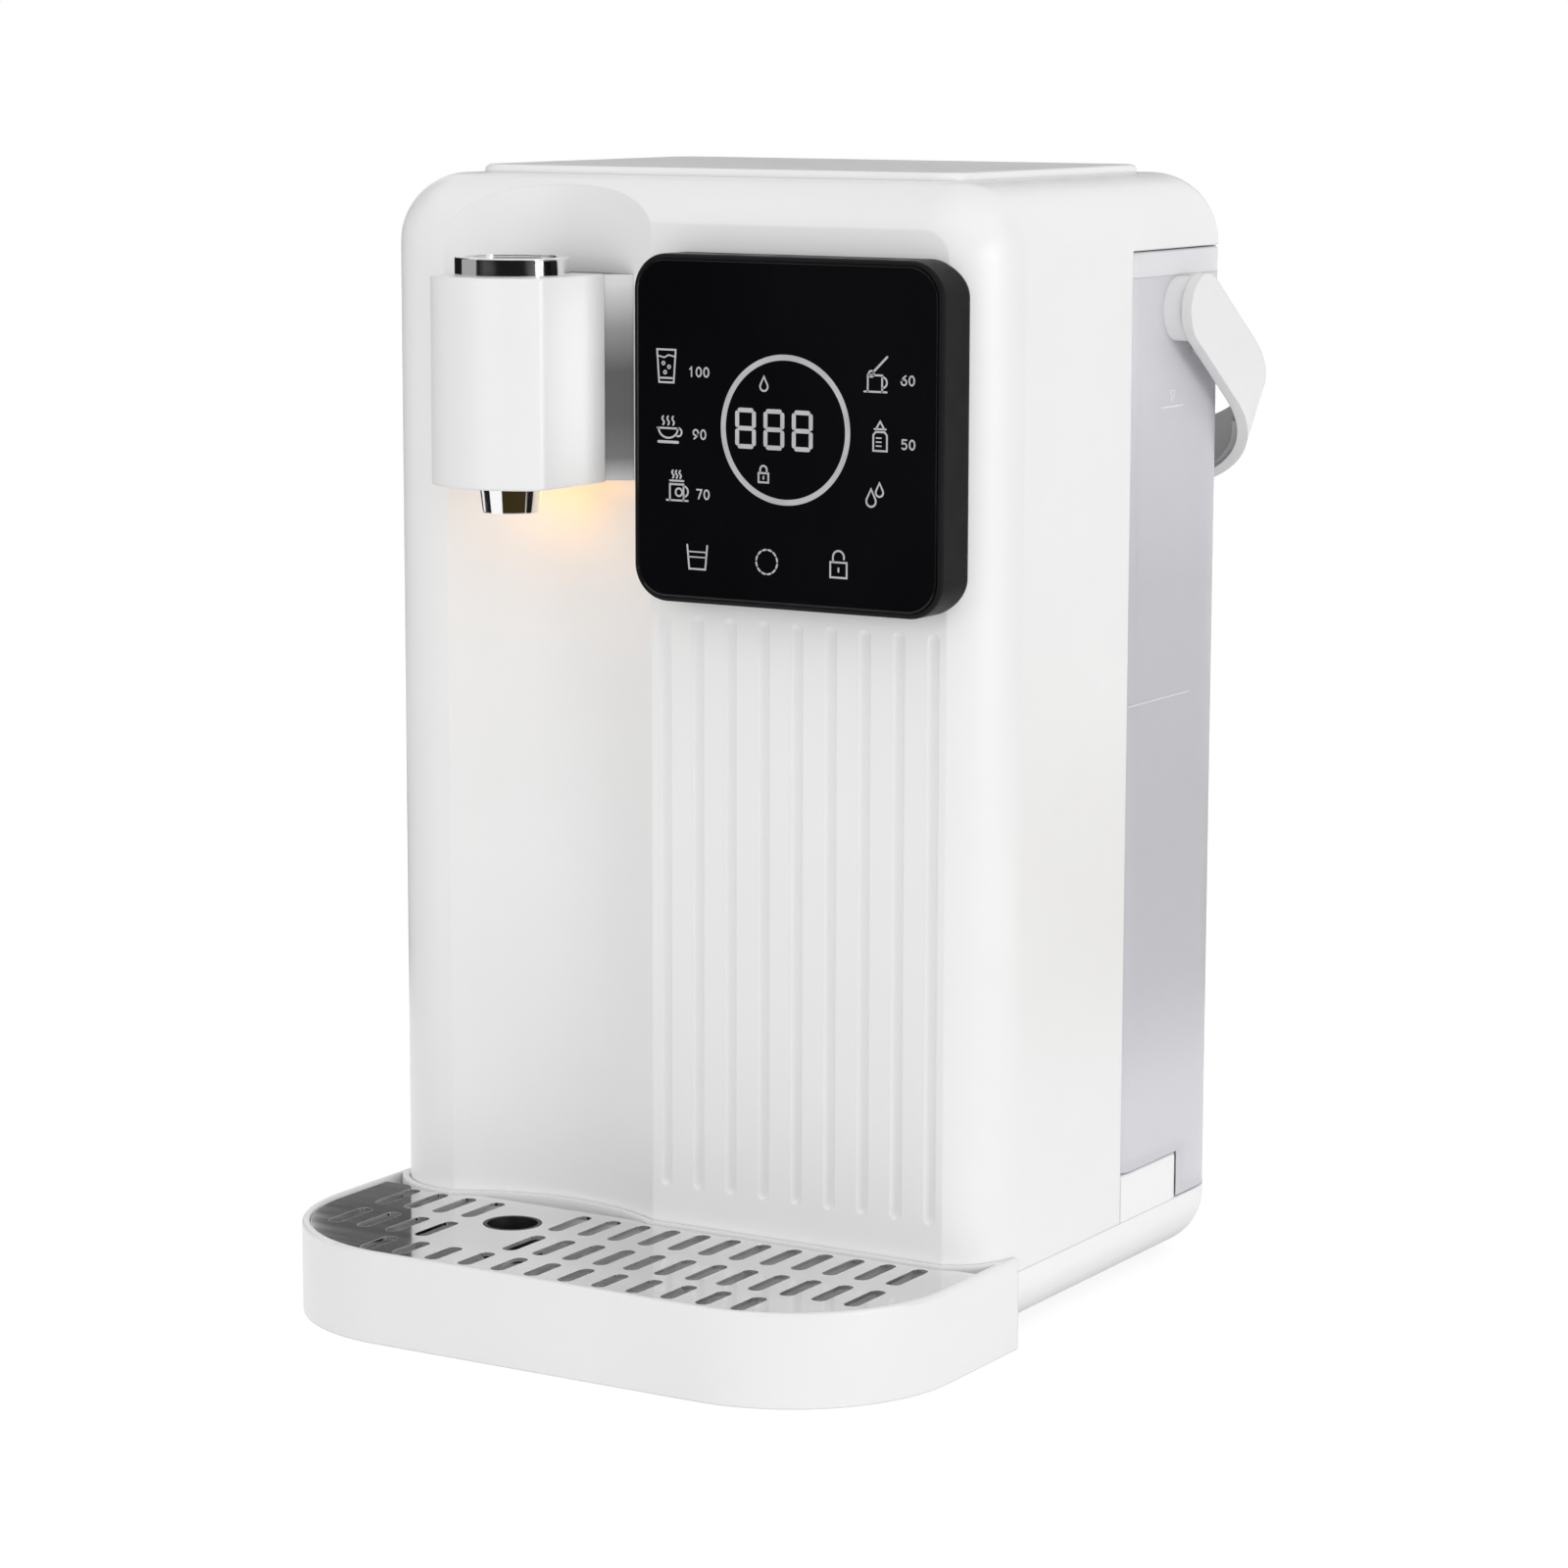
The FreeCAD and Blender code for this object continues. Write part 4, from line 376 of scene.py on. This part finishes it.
def number(sheet, text, x, z, height, width):
    """Writes a plain number whose middle is at x, z."""
    scale = height / 1.6
    step = scale * 1.55
    left = x - (len(text) * step - 0.55 * scale) / 2
    for i, numeral in enumerate(text):
        for points, closed in NUMERALS[numeral]:
            placed = [(left + i * step + px * scale, z - height / 2 + pz * scale) for px, pz in points]
            sheet.stroke(placed, width, closed)


def seven_segments(sheet, x, z, width, height, line):
    """One lit display digit with all its seven segments."""
    half_x, half_z = (width - line) / 2, (height - line) / 2
    gap = line * 0.62
    for level in (-half_z, 0, half_z):
        sheet.stroke([(x - half_x + gap, z + level), (x + half_x - gap, z + level)], line)
    for side in (-half_x, half_x):
        for low in (-half_z, 0):
            sheet.stroke([(x + side, z + low + gap), (x + side, z + low + half_z - gap)], line)


def drop(sheet, x, z, height, line):
    """Outline of a drop standing on its round end."""
    radius = height * 0.31
    centre = z - height / 2 + radius
    points = arc(x, centre, radius, 150, 390, 1.0, 14)
    sheet.stroke([(x, z + height / 2)] + points, line, closed=True)


def steam(sheet, x, z, height, line, spacing=1.5):
    for side in (-spacing, 0, spacing):
        wave = [(x + side + 0.28 * math.sin(t * 2 * math.pi / 8), z + height * t / 8) for t in range(9)]
        sheet.stroke(wave, line)


def tumbler(sheet, x, z, width, height, line, bubbles):
    top, bottom = z + height / 2, z - height / 2
    half, foot = width / 2, width * 0.39
    outline = [(x - half, top), (x + half, top), (x + foot, bottom), (x - foot, bottom)]
    sheet.stroke(outline, line, closed=True)
    level = top - height * 0.2
    reach = half * 0.8
    ripple = [(x - reach, level), (x - 0.6, level - 0.35), (x + 0.6, level + 0.3), (x + reach, level)]
    sheet.stroke(ripple, line * 0.8)
    sheet.stroke([(x - foot * 0.8, bottom + 1.1), (x + foot * 0.8, bottom + 1.1)], line)
    for bx, bz in bubbles:
        ring(sheet, x + bx, z + bz, 0.42, line * 0.7, steps=8)


def beaker(sheet, x, z, width, height, line):
    top, bottom = z + height / 2, z - height / 2
    half, foot = width / 2, width * 0.4
    sheet.stroke([(x - half, top), (x - foot, bottom), (x + foot, bottom), (x + half, top)], line)
    for share in (0.28, 0.5):
        level = top - height * share
        sheet.stroke([(x - half * 0.84, level), (x + half * 0.84, level)], line * 0.7)


def bowl_cup(sheet, x, z, line):
    """Low cup with a handle on a saucer, steam above."""
    rim = z + 0.6
    sheet.stroke(arc(x - 0.5, rim, 2.9, 180, 360, 0.85), line)
    sheet.stroke([(x - 3.7, rim), (x + 2.7, rim)], line)
    sheet.stroke(arc(x + 2.5, rim - 0.9, 1.05, 80, -110), line)
    sheet.stroke([(x - 3.4, z - 2.9), (x + 2.4, z - 2.9)], line * 1.5)
    steam(sheet, x - 0.5, z + 1.5, 2.1, line)


def mug(sheet, x, z, line, tag):
    """Straight mug with a handle on a line; tag puts a leaf-shaped label on it."""
    left, right = x - 2.5, x + 1.6
    bottom, top = z - 3.4, z + 0.7
    sheet.stroke([(left, bottom), (left, top), (right, top), (right, bottom)], line)
    sheet.stroke([(x - 3.5, bottom), (x + 2.9, bottom)], line)
    sheet.stroke(arc(right, (bottom + top) / 2 + 0.3, 1.35, 85, -85), line)
    if tag:
        ring(sheet, x + 0.2, z - 1.3, 1.0, line, steps=12)
        sheet.stroke([(left, top + 0.9), (right, top + 0.9)], line)
        steam(sheet, x - 0.5, z + 2.3, 1.9, line, 1.1)


def dipper(sheet, x, z, line):
    sheet.stroke([(x - 1.0, z + 0.5), (x + 3.0, z + 4.4)], line * 1.2)
    ring(sheet, x - 1.5, z + 0.1, 0.75, line, steps=10)


def bottle(sheet, x, z, line):
    half = 1.95
    sheet.stroke([(x - half, z - 3.4), (x + half, z - 3.4), (x + half, z + 0.5), (x + 1.25, z + 1.3),
                  (x - 1.25, z + 1.3), (x - half, z + 0.5)], line, closed=True)
    sheet.stroke([(x - 1.6, z + 2.0), (x + 1.6, z + 2.0)], line)
    teat = [(x - 1.0, z + 2.3), (x - 0.45, z + 3.2), (x, z + 3.9), (x + 0.45, z + 3.2), (x + 1.0, z + 2.3)]
    sheet.stroke(teat, line)
    for level in (-2.2, -1.2, -0.2):
        sheet.stroke([(x - 1.1, z + level), (x + 0.3, z + level)], line * 0.7)


def padlock(sheet, x, z, size, line, open_bow):
    half = size * 0.36
    low, high = z - size / 2, z + size * 0.08
    sheet.stroke([(x - half, low), (x + half, low), (x + half, high), (x - half, high)], line, closed=True)
    bow = half * 0.68
    foot = high + line * 0.5
    end = -15 if open_bow else 0
    sheet.stroke([(x - bow, foot)] + arc(x, foot + size * 0.16, bow, 180, end, 1.0, 10) +
                 ([] if open_bow else [(x + bow, foot)]), line)
    sheet.stroke([(x, z - size * 0.27), (x, z - size * 0.14)], line)


glass_face = (0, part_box("panel_glass")[0].y, 0)


def panel_sheet():
    return Sheet(glass_face, (1, 0, 0), (0, 0, 1), (0, -1, 0))


RING_X, RING_Z = 40.9, 236.6
THIN = 0.48

dial = panel_sheet()
ring(dial, RING_X, RING_Z, 18.2, 1.45, steps=96)
dial.piece("panel_ring", print_ink, "dispenser", "display")

digits = panel_sheet()
for digit_x in (29.3, 37.65, 45.95):
    seven_segments(digits, digit_x, RING_Z, 6.1, 10.3, 1.15)
digits.piece("panel_digits", print_ink, "dispenser", "display")

icons = panel_sheet()
drop(icons, 34.7, 248.0, 3.6, THIN)
padlock(icons, 34.6, 225.2, 4.0, THIN, False)
tumbler(icons, 5.7, 251.4, 5.6, 8.3, THIN, [(-0.9, 0.7), (0.8, -0.2), (-0.4, -1.6)])
bowl_cup(icons, 6.7, 235.0, THIN)
mug(icons, 9.2, 220.7, THIN, True)
mug(icons, 67.3, 250.7, THIN, False)
dipper(icons, 67.3, 251.6, THIN)
bottle(icons, 68.4, 236.1, THIN)
drop(icons, 65.9, 220.9, 4.4, THIN)
drop(icons, 68.3, 223.0, 3.4, THIN)
beaker(icons, 14.9, 203.1, 6.0, 6.1, THIN)
for step in range(12):
    turn = 30 * step
    icons.stroke(arc(35.6, 203.1, 3.1, turn + 4, turn + 22, 1.0, 3), THIN)
padlock(icons, 56.6, 203.7, 6.6, THIN, True)
icons.piece("panel_icons", print_ink, "dispenser", "display")

numbers = panel_sheet()
for text, number_x, number_z in (("100", 15.4, 250.2), ("90", 15.6, 234.4), ("70", 16.6, 219.2),
                                 ("60", 76.2, 250.4), ("50", 76.4, 234.6)):
    number(numbers, text, number_x, number_z, 2.3, 0.42)
numbers.piece("panel_numbers", print_ink, "dispenser", "display")


# Tank marks

def tank_side_x():
    """Outer face of the tank's right wall, clear of the bosses."""
    near = [v.co.x for v in nodes["tank_shell"].data.vertices if v.co.z < 0.2]
    return max(near)


marks = Sheet((tank_side_x(), 0, 0), (0, 1, 0), (0, 0, 1), (1, 0, 0), 0.15, 0.05)
marks.stroke([(40, 237.4), (53, 237.4)], 0.6)
marks.stroke([(45.2, 241.6), (48.2, 241.6), (46.7, 238.9)], 0.5, closed=True)
marks.stroke([(23, 159.6), (59, 159.6)], 0.35)
marks.piece("tank_level_marks", level_ink, "water_tank", "tank_plastic")


# Valve spring

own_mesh(nodes["valve_spring"])


# Studio

def mix_by_ray(tree, shader_seen, shader_light, output):
    """Chooses one shader for camera, glossy and transmission rays and another for the rest."""
    path = tree.nodes.new("ShaderNodeLightPath")
    either = tree.nodes.new("ShaderNodeMath")
    either.operation = "MAXIMUM"
    tree.links.new(path.outputs["Is Camera Ray"], either.inputs[0])
    tree.links.new(path.outputs["Is Glossy Ray"], either.inputs[1])
    every = tree.nodes.new("ShaderNodeMath")
    every.operation = "MAXIMUM"
    tree.links.new(either.outputs[0], every.inputs[0])
    tree.links.new(path.outputs["Is Transmission Ray"], every.inputs[1])
    mix = tree.nodes.new("ShaderNodeMixShader")
    tree.links.new(every.outputs[0], mix.inputs["Fac"])
    tree.links.new(shader_light, mix.inputs[1])
    tree.links.new(shader_seen, mix.inputs[2])
    tree.links.new(mix.outputs[0], output)


WORLD_LIGHT = 0.78

world = bpy.data.worlds.new("studio")
bpy.context.scene.world = world
world.use_nodes = True
sky = world.node_tree
sky.nodes.clear()
sky_output = sky.nodes.new("ShaderNodeOutputWorld")
seen = sky.nodes.new("ShaderNodeBackground")
seen.inputs["Color"].default_value = (1, 1, 1, 1)
seen.inputs["Strength"].default_value = 1.0
lit = sky.nodes.new("ShaderNodeBackground")
lit.inputs["Color"].default_value = (1, 1, 1, 1)
lit.inputs["Strength"].default_value = WORLD_LIGHT
mix_by_ray(sky, seen.outputs[0], lit.outputs[0], sky_output.inputs["Surface"])


def plane(name, centre, across, up, material):
    """A flat card from its centre and its two half sides."""
    centre, across, up = Vector(centre), Vector(across), Vector(up)
    data = bpy.data.meshes.new(name)
    corners = [centre - across - up, centre + across - up, centre + across + up, centre - across + up]
    data.from_pydata([tuple(c) for c in corners], [], [(0, 1, 2, 3)])
    data.materials.append(material)
    made = bpy.data.objects.new(name, data)
    bpy.context.scene.collection.objects.link(made)
    return made


def floor_material():
    material = bpy.data.materials.new("studio_floor")
    material.use_nodes = True
    tree = material.node_tree
    tree.nodes.clear()
    output = tree.nodes.new("ShaderNodeOutputMaterial")
    glow = tree.nodes.new("ShaderNodeEmission")
    glow.inputs["Color"].default_value = (1, 1, 1, 1)
    glow.inputs["Strength"].default_value = 0.86
    pale = tree.nodes.new("ShaderNodeBsdfDiffuse")
    pale.inputs["Color"].default_value = (0.24, 0.24, 0.24, 1)
    both = tree.nodes.new("ShaderNodeAddShader")
    tree.links.new(glow.outputs[0], both.inputs[0])
    tree.links.new(pale.outputs[0], both.inputs[1])
    plain = tree.nodes.new("ShaderNodeBsdfDiffuse")
    plain.inputs["Color"].default_value = (0.82, 0.82, 0.82, 1)
    mix_by_ray(tree, both.outputs[0], plain.outputs[0], output.inputs["Surface"])
    return material


plane("studio_floor", (0, 0, 0), (8, 0, 0), (0, 8, 0), floor_material())


def area_light(name, place, target, size, power, colour=(1, 1, 1)):
    data = bpy.data.lights.new(name, "AREA")
    data.shape = "RECTANGLE"
    data.size, data.size_y = size
    data.energy = power
    data.color = colour
    lamp = bpy.data.objects.new(name, data)
    bpy.context.scene.collection.objects.link(lamp)
    lamp.location = place
    lamp.rotation_euler = (Vector(target) - Vector(place)).to_track_quat("-Z", "Y").to_euler()
    return lamp


area_light("side_softbox", (1.92, -0.55, 0.32), (0, 0, 0.15), (0.9, 0.9), 11.0)
area_light("front_softbox", (-0.51, -1.91, 0.43), (0, 0, 0.15), (1.0, 1.0), 5.4)


def flag(name, azimuths, near, low, high, tone, far=None, tint=(1, 1, 1)):
    """A curved card that only shows in glossy surfaces; far spreads its upper edge outwards."""
    material = bpy.data.materials.new(name)
    material.use_nodes = True
    tree = material.node_tree
    tree.nodes.clear()
    glow = tree.nodes.new("ShaderNodeEmission")
    glow.inputs["Color"].default_value = (*tint, 1)
    glow.inputs["Strength"].default_value = tone
    tree.links.new(glow.outputs[0], tree.nodes.new("ShaderNodeOutputMaterial").inputs["Surface"])
    steps = 24
    points, faces = [], []
    for i in range(steps + 1):
        turn = math.radians(azimuths[0] + (azimuths[1] - azimuths[0]) * i / steps)
        for distance, level in ((near, low), (far or near, high)):
            points.append((distance * math.sin(turn), -distance * math.cos(turn), level))
        if i:
            faces.append((2 * i - 2, 2 * i, 2 * i + 1, 2 * i - 1))
    data = bpy.data.meshes.new(name)
    data.from_pydata(points, [], faces)
    data.materials.append(material)
    card = bpy.data.objects.new(name, data)
    bpy.context.scene.collection.objects.link(card)
    for ray in ("camera", "diffuse", "transmission", "volume_scatter", "shadow"):
        setattr(card, "visible_" + ray, False)
    return card


flag("front_flag", (-40, 79), 1.15, 0.003, 1.2, 0.012)
flag("side_flag", (102, 143), 1.15, 0.003, 1.2, 0.012)
flag("left_flag", (-125, -81), 1.15, 0.003, 1.2, 0.012)
flag("left_grey_flag", (-81, -40), 1.15, 0.003, 1.2, 0.4)
flag("back_flag", (190, 222), 1.5, 0.31, 0.39, 0.28)
flag("back_high_flag", (190, 222), 1.5, 0.39, 1.0, 0.09)

AMBER = (1.0, 0.72, 0.26)
flag("floor_flag_0", (-3, 90), 0.42, 0.002, 0.0021, 0.045, 1.0, AMBER)
flag("floor_flag_1", (-140, -50), 0.42, 0.002, 0.0021, 0.012, 1.0)
flag("floor_flag_2", (126, 182), 0.42, 0.002, 0.0021, 0.34, 1.0, AMBER)

# The black panel shades the spout's side, which a small card between the two lights again
spout_low, spout_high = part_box("spout_cover")
panel_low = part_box("panel_frame")[0]
card_x = panel_low.x - 0.0012
card_y = panel_low.y - 0.004
card_z = (spout_low.z + spout_high.z) / 2
spout_fill = area_light("spout_fill", (card_x, card_y, card_z), (spout_high.x, card_y, card_z),
                        (0.024, 0.05), 0.0020)
spout_fill.visible_glossy = False
spout_fill.visible_camera = False

lamp_data = bpy.data.lights.new("night_light", "POINT")
lamp_data.energy = 0.0045
lamp_data.color = (1.0, 0.44, 0.0)
lamp_data.shadow_soft_size = 0.003
night_light = bpy.data.objects.new("night_light", lamp_data)
bpy.context.scene.collection.objects.link(night_light)
lens_low, lens_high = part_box("night_light_lens")
night_light.location = ((lens_low.x + lens_high.x) / 2, lens_high.y, lens_low.z - 0.003)


# Camera

camera_data = bpy.data.cameras.new("photograph")
camera_data.sensor_width = 36.0
camera_data.lens = 105.92
camera = bpy.data.objects.new("photograph", camera_data)
bpy.context.scene.collection.objects.link(camera)
right = Vector((0.8565563, 0.5160487, 0.0022520))
upward = Vector((-0.0841342, 0.1353408, 0.9872205))
ahead = Vector((-0.5091491, 0.8457994, -0.1593443))
place = Vector((0.636951, -1.055834, 0.333354))
camera.matrix_world = Matrix((
    (right.x, upward.x, -ahead.x, place.x),
    (right.y, upward.y, -ahead.y, place.y),
    (right.z, upward.z, -ahead.z, place.z),
    (0, 0, 0, 1),
))
bpy.context.scene.camera = camera
bpy.context.scene.view_settings.view_transform = "Standard"
